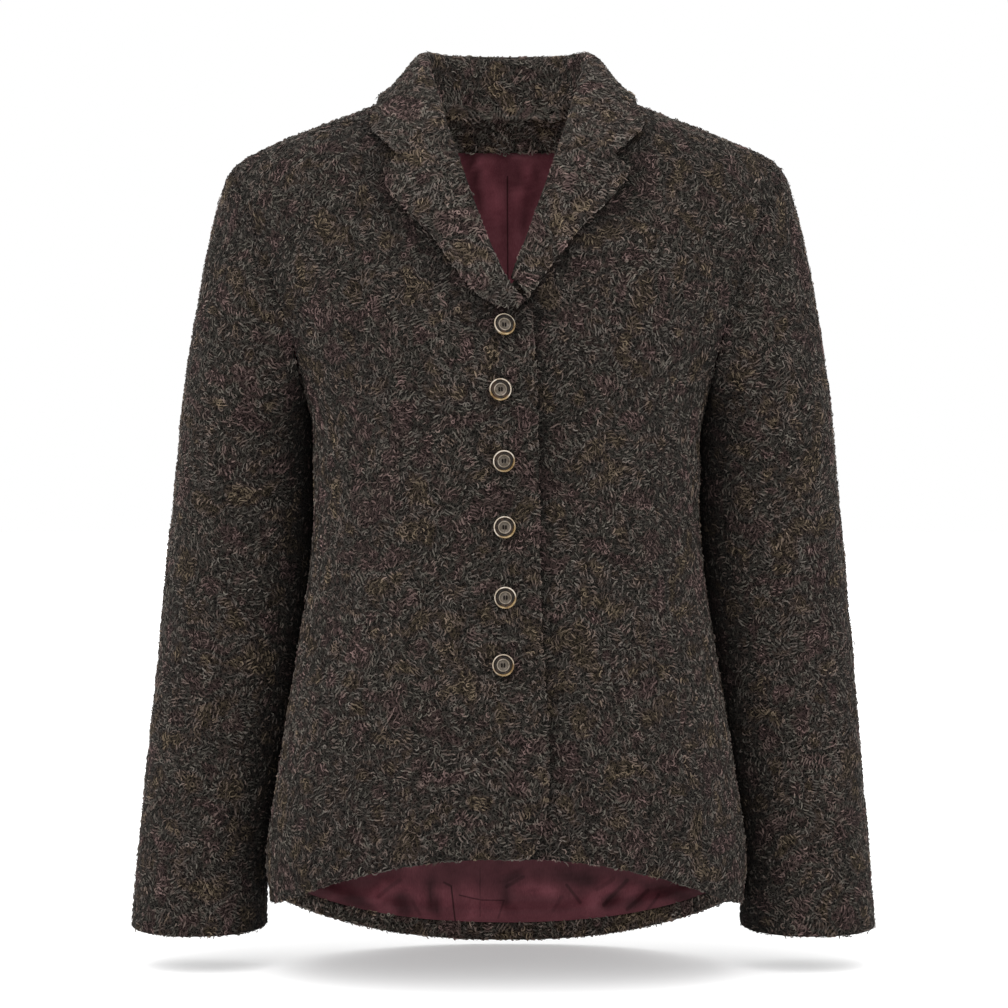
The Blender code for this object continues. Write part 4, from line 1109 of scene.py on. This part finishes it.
# turn round the sleeve in degrees and height at the start; the same at the end; width; lift
SLEEVE_FOLDS = {
    "right": (
        (-150, -0.285, -60, -0.292, 7, -0.0018), (-130, -0.262, -70, -0.272, 8, 0.0010),
        (-160, -0.368, -45, -0.378, 7, -0.0020), (-140, -0.352, -60, -0.358, 8, 0.0012),
        (-110, -0.402, -20, -0.396, 8, -0.0012), (-60, -0.470, 10, -0.485, 10, -0.0010),
        (80, -0.300, 170, -0.322, 9, -0.0018), (70, -0.350, 160, -0.362, 9, -0.0020),
        (60, -0.430, 150, -0.440, 10, -0.0014),
    ),
    "left": (
        (-150, -0.218, -50, -0.226, 7, -0.0016), (-150, -0.304, -55, -0.314, 8, -0.0020),
        (-140, -0.330, -60, -0.336, 8, 0.0012), (-155, -0.400, -40, -0.410, 8, -0.0018),
        (-120, -0.484, -30, -0.492, 9, -0.0012), (-100, -0.270, -30, -0.262, 8, 0.0008),
        (80, -0.290, 170, -0.310, 9, -0.0018), (75, -0.365, 160, -0.372, 9, -0.0020),
        (60, -0.450, 150, -0.462, 10, -0.0012),
    ),
}


# %% The armhole and the rings below it
def armhole_loop(side):
    """A dense loop round the armhole, from the shoulder tip down the front and up the back."""
    down = closer_to_ends(SHOULDER_TIP, UNDERARM, 700)
    loops = []
    for facing, heights in ((-1, down), (1, down[-2:0:-1])):
        across = smooth(ARMHOLE, heights)[:, 0 if facing < 0 else 1]
        loops.append(body(facing, side * across, heights))
    points = np.concatenate([loop[0] for loop in loops])
    normals = np.concatenate([loop[1] for loop in loops])
    lengths = np.linalg.norm(np.roll(points, -1, axis=0) - points, axis=1)
    return points, normals, np.concatenate([[0.0], np.cumsum(lengths)])


def sleeve_ring(side, height, turns):
    """Points round a sleeve below the armhole."""
    outer, inner, half_depth, behind = np.moveaxis(smooth(SLEEVE, height), -1, 0)
    middle, half = (outer + inner) / 2, (outer - inner) / 2
    lean = -side * SLEEVE_LEAN * ease((SLEEVE_TOP - height) / (SLEEVE_TOP - CUFF))
    cosine, sine = np.cos(turns), np.sin(turns)
    across = middle + lean + half * np.copysign(np.abs(cosine) ** (2 / SLEEVE_POWER), cosine)
    depth = behind + half_depth * np.copysign(np.abs(sine) ** (2 / SLEEVE_POWER), sine)
    return np.stack(np.broadcast_arrays(side * across, depth, height), axis=-1)


def sleeve_grid(side, columns):
    """Rings of points down the sleeve at shares of the way round the armhole, the way through the
    cloth at the armhole, and each column's turn round the sleeve."""
    points, normals, run = armhole_loop(side)
    closed = [np.concatenate([values, values[:1]]) for values in (points, normals)]
    where = np.mod(columns, 1.0) * run[-1]
    a_bit = 0.002

    def round_armhole(values, off):
        stops = np.mod(where + off, run[-1])
        return np.stack([np.interp(stops, run, values[:, axis]) for axis in range(3)], axis=-1)

    places, normals = round_armhole(closed[0], 0), unit(round_armhole(closed[1], 0))
    back_a_bit, on_a_bit = round_armhole(closed[0], -a_bit), round_armhole(closed[0], a_bit)
    into = unit(np.cross(normals, on_a_bit - back_a_bit)) * side
    lowness = (places[:, 2:] - UNDERARM) / (SHOULDER_TIP - UNDERARM)
    fold = math.pi * (1 - ease(lowness / FOLDED_SHARE))
    leave = into * np.cos(fold) + normals * np.sin(fold)
    thick_way = normals * np.cos(fold) - into * np.sin(fold)
    start = places + SLEEVE_SEAM * (into * np.cos(fold / 2) + normals * np.sin(fold / 2))
    turns = -2 * math.pi * columns
    below = sleeve_ring(side, np.full(len(columns), SLEEVE_TOP), turns)
    down = unit(sleeve_ring(side, np.full(len(columns), SLEEVE_TOP - 0.02), turns) - below)
    reach = np.linalg.norm(below - start, axis=1)[:, None]
    pull = CAP_EASE * ease((lowness - 0.55) / 0.4) + 0.012
    rings = []
    for share in np.linspace(0, 1, 34) ** 1.25:
        rise = share * share * (3 - 2 * share)
        rings.append(
            start * (1 - rise) + below * rise + leave * pull * share * (1 - share) ** 2
            - down * reach * 0.9 * share * share * (1 - share)
        )
    heights = np.concatenate([np.linspace(SLEEVE_TOP - 0.006, CUFF + 0.014, 60),
                              CUFF + np.array([0.010, 0.006, 0.003, 0.0012, 0.0])])
    for height in heights:
        ring = sleeve_ring(side, np.full(len(columns), height), turns)
        ring[:, 2] += CUFF_DIP * np.sin(turns) * ease((CUFF + 0.0525 - height) / 0.0525)
        rings.append(ring)
    return np.array(rings), thick_way, turns


# %% Make the sleeves
def sleeve_seams(side):
    """The shares of the way round the armhole at which the front and back sleeve seams start."""
    points, _, run = armhole_loop(side)
    half_way = len(points) // 2
    front = np.interp(-SEAM_HEIGHT_FRONT, -points[:half_way, 2], run[:half_way])
    behind = np.interp(SEAM_HEIGHT_BACK, points[half_way + 1:, 2], run[half_way + 1:-1])
    return front / run[-1], behind / run[-1]


armhole_lines = {}
for side, word in ((-1, "right"), (1, "left")):
    armhole_lines[word] = armhole_loop(side)[0][::12]
    front_seam, back_seam = sleeve_seams(side)
    for part, first, last, count in (
        ("top", back_seam - 1, front_seam, 56), ("under", front_seam, back_seam, 24),
    ):
        columns = np.linspace(first, last, count)
        margin = (last - first) / (count - 1)
        wide = np.concatenate([[first - margin], columns, [last + margin]])
        grid, thick_way, turns = sleeve_grid(side, wide)
        out = outward(grid, grid - grid.mean(axis=1, keepdims=True))
        for ring, keep in ((0, 1.0), (1, 0.7), (2, 0.4), (3, 0.15)):
            out[ring] = unit(thick_way * keep + out[ring] * (1 - keep))
        degrees = np.degrees(turns)[None] + np.zeros(grid.shape[:2])
        folds = [
            (first_turn * DEGREE, top, last_turn * DEGREE, foot, width * DEGREE, height)
            for first_turn, top, last_turn, foot, width, height in SLEEVE_FOLDS[word]
        ]
        lift = np.zeros(grid.shape[:2])
        for whole_turn in (-360, 0, 360):
            lift = lift + folded(folds, (degrees + whole_turn) * DEGREE, grid[..., 2])
        lift = lift + unevenness(grid, 0.028, 0.0009, 31 + side)
        lift = lift * ease((np.arange(len(grid))[:, None] - 2) / 12) * ease((grid[..., 2] - CUFF) / 0.03)
        outer = (grid + out * lift[..., None])[:, 1:-1]
        out = out[:, 1:-1]
        inner = outer - CLOTH * out
        rings_inside = np.arange(len(grid) - 1)[:, None] + np.zeros((1, count - 1))
        inside = np.where(rings_inside > len(grid) - 12, 0, 1).astype(int)
        name = f"sleeve_{part}_{word}"
        sleeve = cloth_wall(f"{word}_{part}_sleeve", outer, inner, (tweed_cloth, lining_satin), inside)
        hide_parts(name)
        WOOLLY[name] = {
            "faces": [(outer, out)],
            "edges": [(outer[-1], out[-1], outer[-1] - outer[-2])],
            "slot": "tweed", "pieces": [sleeve],
        }
        print(name, "has", len(sleeve.data.polygons), "faces")

# %% [markdown]
# ## The buttons
# A horn button is turned on a lathe: a raised rim, a groove, a ring and a shallow dish. The lathe's
# work is repeated here by extruding a disc again and again, each time to the next radius and height
# of its section. Two stitches of thread lie in the dish, over the holes they pass through.
# %% The button's section and its places
BUTTON_RADIUS, BUTTON_CLEARANCE, BUTTON_SEGMENTS = 0.0082, 0.0022, 48
# radius and height above the back, as shares of the button's radius, from the back to the dish
BUTTON_SECTION = (
    (0.20, 0.00), (0.60, 0.00), (0.90, 0.06), (0.975, 0.14), (1.00, 0.24), (0.995, 0.31), (0.965, 0.375),
    (0.925, 0.405), (0.880, 0.405), (0.840, 0.375), (0.800, 0.270), (0.775, 0.235), (0.720, 0.215),
    (0.660, 0.215), (0.625, 0.240), (0.600, 0.300), (0.565, 0.330), (0.515, 0.335), (0.475, 0.310),
    (0.445, 0.250), (0.400, 0.205), (0.300, 0.180), (0.150, 0.170), (0.020, 0.170),
)
# share of the radius, and how strong the painted highlight is there
PAINTED_HIGHLIGHT_PROFILE = (
    (0.00, 0.13), (0.42, 0.13), (0.45, 0.10), (0.515, 0.30), (0.565, 0.24), (0.60, 0.05), (0.66, 0.01),
    (0.84, 0.01), (0.885, 0.10), (0.925, 0.80), (0.965, 0.70), (0.995, 0.15), (1.00, 0.02),
)
# distance from the middle, height, and the lean sideways and up in degrees
BUTTONS = (
    (-0.0022, -0.1612, 17.0, -8.0), (-0.0044, -0.2078, -3.0, 2.0), (-0.0022, -0.2596, 5.0, 3.0),
    (-0.0016, -0.3088, 2.0, -3.0), (-0.0009, -0.3603, -3.0, 4.0), (-0.0027, -0.4103, 4.0, -4.0),
)
STITCH_RADIUS, STITCH_LENGTH, STITCH_HEIGHT = 0.00062, 0.0040, 0.215 * BUTTON_RADIUS
STITCH_PLACES = (-0.00095, 0.00095)


# %% Turn a button and sew it on
def turned_button():
    """A button with its back on the floor and its face up."""
    deselect()
    radius, height = (share * BUTTON_RADIUS for share in BUTTON_SECTION[0])
    bpy.ops.mesh.primitive_circle_add(
        vertices=BUTTON_SEGMENTS, radius=radius, fill_type="NGON", location=(0, 0, 0))
    bpy.ops.object.mode_set(mode="EDIT")
    for next_radius, next_height in BUTTON_SECTION[1:]:
        next_radius, next_height = next_radius * BUTTON_RADIUS, next_height * BUTTON_RADIUS
        bpy.ops.mesh.extrude_region_move(
            TRANSFORM_OT_translate={"value": (0, 0, next_height - height)})
        wider = next_radius / radius
        bpy.ops.transform.resize(value=(wider, wider, 1), center_override=(0, 0, next_height))
        radius, height = next_radius, next_height
    bpy.ops.mesh.select_all(action="SELECT")
    bpy.ops.mesh.normals_make_consistent(inside=False)
    bpy.ops.object.mode_set(mode="OBJECT")
    return bpy.context.object


def stitch(sideways):
    """One stitch of thread across the dish: a bar with both ends drawn down into the holes."""
    deselect()
    bpy.ops.mesh.primitive_cylinder_add(
        vertices=10, radius=STITCH_RADIUS, depth=STITCH_LENGTH, location=(sideways, 0, STITCH_HEIGHT),
        rotation=(math.radians(90), 0, 0))
    bar = bpy.context.object
    bpy.ops.object.transform_apply(location=True, rotation=True, scale=True)
    bpy.ops.object.mode_set(mode="EDIT")
    for along in (-0.0012, -0.0006, 0.0, 0.0006, 0.0012):
        bpy.ops.mesh.select_all(action="SELECT")
        bpy.ops.mesh.bisect(plane_co=(0, along, 0), plane_no=(0, 1, 0))
    bpy.ops.object.mode_set(mode="OBJECT")
    for corner in bar.data.vertices:
        corner.co.z -= 0.0011 * (abs(corner.co.y) / 0.0018) ** 3
    bar.data.shade_smooth()
    return bar


dice_for_buttons = np.random.default_rng(12)


def sewn_on(number, across, height, sideways, upward):
    """A button at its place on the right front, with its stitches joined to it."""
    button = turned_button()
    button.name = button.data.name = f"horn_button_{number}"
    corners = np.array([corner.co for corner in button.data.vertices])
    ring = np.hypot(corners[:, 0], corners[:, 1]) / BUTTON_RADIUS
    in_front = corners[:, 2] > 0.05 * BUTTON_RADIUS
    turn = math.radians(dice_for_buttons.uniform(-50, 20))  # each button hangs turned its own way
    lower = -(corners[:, 1] * math.cos(turn) + corners[:, 0] * math.sin(turn)) / BUTTON_RADIUS
    # Painted glow: amber on the lower side of the rim, where light comes through.
    painted_glow = ease((lower - 0.15) / 0.5) * ease((ring - 0.80) / 0.06) * in_front * 0.8
    # Painted highlight on the rim's crest and the ring, none where the glow is.
    keep_numbers(button.data, "painted_highlight", np.interp(ring, *zip(*PAINTED_HIGHLIGHT_PROFILE)) * in_front * (1 - painted_glow))
    keep_numbers(button.data, "painted_glow", painted_glow)
    button.data.materials.append(button_horn)
    button.data.shade_smooth()
    stitches = [stitch(place) for place in STITCH_PLACES]
    for bar in stitches:
        bar.data.materials.append(button_thread)
        for attribute in ("painted_highlight", "painted_glow"):
            keep_numbers(bar.data, attribute, np.zeros(len(bar.data.vertices)))
    deselect()
    for thing in (*stitches, button):
        thing.select_set(True)
    bpy.context.view_layer.objects.active = button
    bpy.ops.object.join()
    point, out = body(-1, across, height)
    out = Vector(out)
    side_axis = Vector((0, 0, 1)).cross(out).normalized()
    stand = Matrix((side_axis, out.cross(side_axis), out)).transposed().to_4x4()
    lean = Matrix.Rotation(math.radians(sideways), 4, "Y") @ Matrix.Rotation(math.radians(upward), 4, "X")
    button.data.transform(Matrix.Translation(Vector(point) + out * BUTTON_CLEARANCE) @ stand @ lean)
    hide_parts(f"button_{number}")
    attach(button, "root")
    return button


buttons = [sewn_on(number, *row) for number, row in enumerate(BUTTONS, start=1)]
button_places = [body(-1, across, height)[0] for across, height, *_ in BUTTONS]
print(len(buttons), "buttons of", len(buttons[0].data.polygons), "faces each")

# %% [markdown]
# ## The curls of wool
# Up close the cloth is a mat of curls, a few millimetres long and less than a millimetre wide, and
# along every edge they stand out past it. A hair system would be too heavy, so each curl is a narrow
# bent ribbon of three or six cells, and thousands of them are joined in one mesh for each panel.
# They are scattered evenly by area and then drawn sideways onto strands. The strands of one small
# tuft run the same way and share a lightness and a hue, as brushed yarn does, and the next tuft has
# others. Everything random has a seed, so the jacket is the same each time.
# %% Scatter places over cloth and along its edges
CURLS_PER_SQUARE_METRE = 124000.0
CURLS_PER_METRE_OF_EDGE = 460.0


def cell_areas(points):
    """The areas of a grid's cells."""
    corner = points[:-1, :-1]
    return np.linalg.norm(np.cross(points[:-1, 1:] - corner, points[1:, :-1] - corner), axis=-1)


def over_face(points, out, density, dice):
    """Random places over a grid, the way out there and a way along the cloth."""
    areas = cell_areas(points).ravel()
    count = int(areas.sum() * density)
    cell = dice.choice(len(areas), size=count, p=areas / areas.sum())
    row, column = np.divmod(cell, points.shape[1] - 1)
    up, along = dice.random((2, count, 1))

    def blend(grid):
        low = grid[row, column] * (1 - along) + grid[row, column + 1] * along
        high = grid[row + 1, column] * (1 - along) + grid[row + 1, column + 1] * along
        return low * (1 - up) + high * up

    way = unit(points[row, column + 1] - points[row, column])
    normal = unit(blend(out))
    way = unit(way - normal * (way * normal).sum(axis=1, keepdims=True))
    return blend(points), normal, way


def along_edge(points, out, push, density, dice):
    """Random places round an edge, from the outside of the cloth to past its rim."""
    lengths = np.linalg.norm(np.diff(points, axis=0), axis=1)
    count = int(lengths.sum() * density)
    cell = dice.choice(len(lengths), size=count, p=lengths / lengths.sum())
    share = dice.random((count, 1))
    place = points[cell] * (1 - share) + points[cell + 1] * share
    normal, past = unit(out[cell]), unit(push[cell])
    turn = dice.uniform(0.0, 2.2, (count, 1))
    place = place - normal * CLOTH * np.clip((turn - 0.3) / 1.9, 0, 1)
    way = unit(points[cell + 1] - points[cell])
    return place, unit(normal * np.cos(turn) + past * np.sin(turn)), way


# %% How curls lie together in tufts
TUFT, STRAND = 0.0095, 0.0023  # across a tuft, and from one strand of it to the next


def chance(centres, number):
    """A number from nought to one that belongs to a tuft."""
    mixed = np.sin(centres @ np.array((127.1, 311.7, 74.7)) + number * 3.7) * 43758.5453
    return mixed - np.floor(mixed)


def tufts(places, normals, ways):
    """The middle of the tuft that each place belongs to, and the way the tuft's strands run."""
    nearest = [noise.voronoi(Vector(place))[1][0] for place in places / TUFT]
    centres = np.round(np.array(nearest), 3)
    turn = 2 * math.pi * chance(centres, 1)[:, None]
    others = np.cross(normals, ways)
    return centres, unit(ways * np.cos(turn) + others * np.sin(turn))


def into_strands(places, normals, ways, dice):
    """Moves places sideways onto the strands of their tufts."""
    centres, ways = tufts(places, normals, ways)
    across = np.cross(normals, ways)
    gap = STRAND * (0.85 + 0.45 * chance(centres, 2))
    off = ((places - centres * TUFT) * across).sum(axis=1) / gap + chance(centres, 3)
    shift = (np.round(off) - off) * gap + dice.normal(0, 0.00022, len(places))
    return places + across * shift[:, None], ways, centres


# %% Bend ribbons into curls
def node_means(values):
    """The means of neighbouring values, with the first and the last kept at the ends."""
    return np.concatenate([values[:, :1], (values[:, 1:] + values[:, :-1]) / 2, values[:, -1:]], axis=1)


def ribbons(places, normals, ways, segments, length, sweep, arch, width, dice):
    """Corners and faces of one bent ribbon at each place."""
    count = len(places)
    others = np.cross(normals, ways)
    steps = np.linspace(-0.5, 0.5, segments)
    wave = dice.uniform(-0.3, 0.3, (count, 1)) * np.sin(steps * 2 * math.pi)
    heading = dice.normal(0, 0.26, (count, 1)) + sweep[:, None] * steps + wave
    stride = (length / segments)[:, None]
    runs = []
    for part in (np.cos(heading), np.sin(heading)):
        run = np.concatenate([np.zeros((count, 1)), np.cumsum(part * stride, axis=1)], axis=1)
        runs.append(run - run.mean(axis=1, keepdims=True))
    at = np.linspace(0, 1, segments + 1)
    lift = -0.00035 + arch[:, None] * np.sin(math.pi * (0.08 + 0.84 * at)) ** 0.8
    lift = lift + dice.uniform(-0.0003, 0.0004, (count, 1)) * (at - 0.5) * 2
    turn = node_means(heading)
    roll = dice.uniform(-0.8, 0.8, (count, 1)) + dice.uniform(-0.5, 0.5, (count, 1)) * (at - 0.5)
    half = (width / 2)[:, None] * np.sin(math.pi * (0.12 + 0.76 * at)) ** 0.7

    def in_space(on, aside, up):
        on, aside, up = on[..., None], aside[..., None], up[..., None]
        return on * ways[:, None] + aside * others[:, None] + up * normals[:, None]

    centres = places[:, None] + in_space(*runs, lift)
    across = in_space(
        -np.sin(turn) * np.cos(roll) * half, np.cos(turn) * np.cos(roll) * half, np.sin(roll) * half)
    corners = np.stack([centres - across, centres + across], axis=2).reshape(-1, 3)
    start = (np.arange(count) * 2 * (segments + 1))[:, None] + 2 * np.arange(segments)
    faces = np.stack([start, start + 2, start + 3, start + 1], axis=-1).reshape(-1, 4)
    return corners, faces


STROKE_LENGTHS, RING_LENGTHS, CURL_WIDTHS = (0.0030, 0.0060), (0.0070, 0.0100), (0.00070, 0.00125)
RING_SHARE = 0.05


def curl_mesh(name, places, normals, ways, shades, at_edge, dice):
    """One mesh of curls: short strokes for the most part, and some that close nearly to a ring."""
    count = len(places)
    strands, strand_ways, centres = into_strands(places, normals, ways, dice)
    places = np.where(at_edge[:, None], places, strands)
    ways = np.where(at_edge[:, None], ways, strand_ways)
    bend = (chance(centres, 4) - 0.5) * 5.0
    light = 0.74 + 0.56 * chance(centres, 5)
    hue = 0.12 + 0.76 * chance(centres, 6)
    ring = dice.random(count) < RING_SHARE
    corners, faces, tones_and_shades, tints = [], [], [], []
    total = 0
    for chosen, segments in ((~ring, 3), (ring, 6)):
        number = int(chosen.sum())
        if not number:
            continue
        if segments == 3:
            length = dice.uniform(*STROKE_LENGTHS, number)
            sweep = bend[chosen] + dice.normal(0, 0.8, number)
        else:
            length = dice.uniform(*RING_LENGTHS, number)
            sweep = dice.choice((-1, 1), number) * dice.uniform(4.4, 6.2, number)
        arch = 0.0004 + 0.0008 * dice.random(number) ** 1.5 + 0.0008 * (dice.random(number) < 0.05)
        width = dice.uniform(*CURL_WIDTHS, number)
        length = length * np.where(at_edge[chosen], 0.75, 1.0)
        points, cells = ribbons(
            places[chosen], normals[chosen], ways[chosen], segments, length, sweep, arch, width, dice)
        per_curl = 2 * (segments + 1)
        tone_and_shade = np.clip(1.34 * np.exp(dice.normal(0.0, 0.27, number)), 0.5, 2.4)
        # A tuft's own random lightness, times the painted light and shade of the place.
        tone_and_shade = tone_and_shade * light[chosen] * shades[chosen]
        tones_and_shades.append(np.repeat(tone_and_shade, per_curl))
        tints.append(np.repeat(np.clip(dice.normal(hue[chosen], 0.10), 0, 1), per_curl))
        corners.append(points)
        faces.append(cells + total)
        total += len(points)
    corners, faces = np.concatenate(corners), np.concatenate(faces)
    mesh = bpy.data.meshes.new(name)
    mesh.vertices.add(len(corners))
    mesh.vertices.foreach_set("co", corners.ravel())
    mesh.loops.add(faces.size)
    mesh.loops.foreach_set("vertex_index", faces.ravel().astype(np.int32))
    mesh.polygons.add(len(faces))
    mesh.polygons.foreach_set("loop_start", np.arange(0, faces.size, 4, dtype=np.int32))
    mesh.update(calc_edges=True)
    for attribute, values in (("tone_and_shade", tones_and_shades), ("tint", tints)):
        keep_numbers(mesh, attribute, np.concatenate(values))
    mesh.shade_smooth()
    mesh.materials.append(wool_curls)
    piece = bpy.data.objects.new(name, mesh)
    bpy.context.scene.collection.objects.link(piece)
    return piece


# %% [markdown]
# ## Painted light and shade on the wool
# Beside a lapel, under the collar and where a sleeve hangs near the body little light gets in, and a
# render's own shadows are softer than that. So each place on the cloth gets a number of painted light
# and shade, and its curls take it too: painted shade along edges and armholes, round the buttons and
# low on the fronts; painted light on the lapels, the collar, the neck facing and the back's turned-up
# hem; and a painted highlight where the cloth faces sideways or up.
# %% Where painted shade darkens the cloth and painted light brightens it
def beside(places, line, width):
    """One on a line of points, falling to nought away from it."""
    nearest = np.full(len(places), 1.0)
    for point in line:
        nearest = np.minimum(nearest, np.linalg.norm(places - point, axis=1))
    return np.exp(-((nearest / width) ** 2))


LINES = {
    "collar": collar_edge, "front": front_edges["right"], "right_lapel": lapel_edges["right"],
    "left_lapel": lapel_edges["left"], "right_armhole": armhole_lines["right"],
    "left_armhole": armhole_lines["left"],
}
# painted shade beside lines on a piece: the line, how wide, how much
PAINTED_SHADE_LINES = {
    "front_right": (("collar", 0.013, 0.50), ("right_lapel", 0.018, 0.48), ("right_armhole", 0.009, 0.25)),
    "front_left": (("collar", 0.013, 0.50), ("left_lapel", 0.018, 0.48), ("left_armhole", 0.009, 0.25),
                   ("front", 0.0085, 0.68)),
    "lapel_right": (("collar", 0.006, 0.40),),
    "lapel_left": (("collar", 0.006, 0.40), ("front", 0.006, 0.40)),
    "sleeve_top_right": (("right_armhole", 0.007, 0.25),),
    "sleeve_top_left": (("left_armhole", 0.007, 0.25),),
    "sleeve_under_right": (), "sleeve_under_left": (), "collar": (), "back_neck_facing": (),
    "back": (("collar", 0.010, 0.40), ("right_armhole", 0.009, 0.20), ("left_armhole", 0.009, 0.20)),
}


def shading(name, places, normals):
    """The painted light and shade of the wool at places on a piece, against the wool in open light."""
    sides, heights = np.abs(places[:, 0]), places[:, 2]
    light = np.ones(len(places))
    for line, width, much in PAINTED_SHADE_LINES[name]:
        light = light * (1 - much * beside(places, LINES[line], width))
    if name.startswith("sleeve"):
        # Painted shade on the side of a sleeve that hangs near the body.
        inner_side = smooth(SLEEVE, heights)[..., 1]
        near_body = ease((0.046 - (sides - inner_side)) / 0.046) * ease((-0.150 - heights) / 0.08)
        light = light * (1 - 0.60 * near_body)
    elif name.startswith("front"):
        # Painted shade: the fronts darker towards the hem.
        light = light * (1 - 0.12 * ease((-0.45 - heights) / 0.15))
        if name == "front_right":
            # Painted shadow round each button.
            light = light * (1 - 0.45 * beside(places, button_places, 0.0125))
    elif name.startswith("lapel"):
        # Painted light: the lapels lighter.
        light = light * 1.22
    elif name == "collar":
        # Painted light: the collar lighter, and its stand inside the neck more so.
        stand = ease((0.050 - heights) / 0.02) * (np.abs(places[:, 0]) < 0.066) * (places[:, 1] > 0.0)
        light = light * (1.32 + 0.35 * stand)
    elif name == "back_neck_facing":
        # Painted light: the facing inside the neck lighter, most of all low down.
        light = light * (3.0 - 1.75 * ease((heights - 0.0140) / 0.006))
    elif name == "back":
        # Painted light on the inside of the back, where its turned-up hem shows.
        light = light * np.where(normals[:, 1] < -0.1, 2.5, 1.0)
    # Painted highlight: cloth that faces sideways or up is made lighter.
    turned_away = np.maximum(normals[:, 0] * np.sign(places[:, 0]), normals[:, 2])
    return light * (1 + 0.40 * ease((turned_away - 0.72) / 0.28))


# %% The seam between the collar and the facing
SEAM_REACH, SEAM_STOPS, SEAM_FULLNESS = 0.051, 40, 5


def even_points(line):
    """Points at even steps from right to left along a line that crosses the middle."""
    line = line[np.argsort(line[:, 0])]
    stops = np.linspace(-SEAM_REACH, SEAM_REACH, SEAM_STOPS)
    return np.stack([np.interp(stops, line[:, 0], line[:, axis]) for axis in range(3)], axis=-1)


seam_strip = np.stack([
    even_points(facing_top) + (0, -0.0012, -0.0020), even_points(collar_foot) + (0, -0.0016, 0.0016),
])
forward = np.broadcast_to((0.0, -1.0, 0.0), seam_strip.shape)
WOOLLY["back_neck_facing"]["inside"] += [(seam_strip, forward)] * SEAM_FULLNESS
print("seam strip of", seam_strip.shape[1], "stops")

# %% Grow the curls of each piece
DENSITY = {
    "back": 0.86, "sleeve_under_right": 0.6, "sleeve_under_left": 0.6, "collar": 1.1,
    "lapel_right": 1.2, "lapel_left": 1.2,
}
for number, (name, woolly) in enumerate(WOOLLY.items()):
    for wall in woolly["pieces"]:
        corners, normals = np.zeros((2, len(wall.data.vertices) * 3))
        wall.data.vertices.foreach_get("co", corners)
        wall.data.vertices.foreach_get("normal", normals)
        keep_numbers(wall.data, "shade", shading(name, corners.reshape(-1, 3), normals.reshape(-1, 3)))
    dice = np.random.default_rng(100 + number)
    density = CURLS_PER_SQUARE_METRE * DENSITY.get(name, 1.0)
    grown = [over_face(points, out, density, dice) for points, out in woolly["faces"]]
    grown += [over_face(points, out, density, dice) for points, out in woolly.get("inside", ())]
    grown += [along_edge(*edge, CURLS_PER_METRE_OF_EDGE, dice) for edge in woolly["edges"]]
    places, normals, ways = (np.concatenate(values) for values in zip(*grown))
    on_faces = len(grown) - len(woolly["edges"])
    at_edge = np.concatenate([np.full(len(part[0]), n >= on_faces) for n, part in enumerate(grown)])
    halves = [np.ones(len(places), dtype=bool)]
    if name == "back":
        halves = [places[:, 0] < 0, places[:, 0] >= 0]
    for which, chosen in enumerate(halves):
        label = f"curls_{name}" + ("" if len(halves) == 1 else ("_right", "_left")[which])
        curls = curl_mesh(
            label, places[chosen], normals[chosen], ways[chosen],
            shading(name, places[chosen], normals[chosen]), at_edge[chosen], dice)
        woolly["pieces"].append(curls)
        print(label, chosen.sum(), "curls,", 2 * len(curls.data.polygons), "triangles")

# %% [markdown]
# ## Tie each piece to the body
# A table lists the size that each sheet of cloth was cut to, how it is held, and what carries it.
# Each piece and its curls are then tied to the jacket's one body, because a buttoned jacket has no joints.
# piece: width and length of the cut, how it is held, what holds it
SHEETS = {
    "front_right": ((0.300, 0.640), "hung", ["back_panel"]),
    "front_left": ((0.300, 0.640), "hung", ["back_panel"]),
    "back": ((0.560, 0.700), "hung", ["notched_collar"]),
    "back_neck_facing": ((0.390, 0.075), "stretched", ["back_panel"]),
    "lining_back": ((0.560, 0.660), "hung", ["neck_facing"]),
    "lapel_right": ((0.075, 0.160), "folded", ["right_front"]),
    "lapel_left": ((0.075, 0.160), "folded", ["left_front"]),
    "collar": ((0.460, 0.120), "folded", ["back_panel"]),
    "sleeve_top_right": ((0.330, 0.620), "hung", ["right_front"]),
    "sleeve_top_left": ((0.330, 0.620), "hung", ["left_front"]),
    "sleeve_under_right": ((0.150, 0.480), "hung", ["right_front"]),
    "sleeve_under_left": ((0.150, 0.480), "hung", ["left_front"]),
}


WOOLLY["lining_back"] = {"slot": "lining_satin", "pieces": [lining]}
for name, (flat, held, rests_on) in SHEETS.items():
    piece, *others = WOOLLY[name]["pieces"]
    for thing in (piece, *others):
        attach(thing, "root")

# %% Count the triangles that were added
added = sum(
    len(face.vertices) - 2
    for thing in bpy.data.objects
    if thing.type == "MESH" and thing.name not in frame["nodes"] and thing.name != "floor"
    for face in thing.data.polygons
)
print("triangles added:", added)
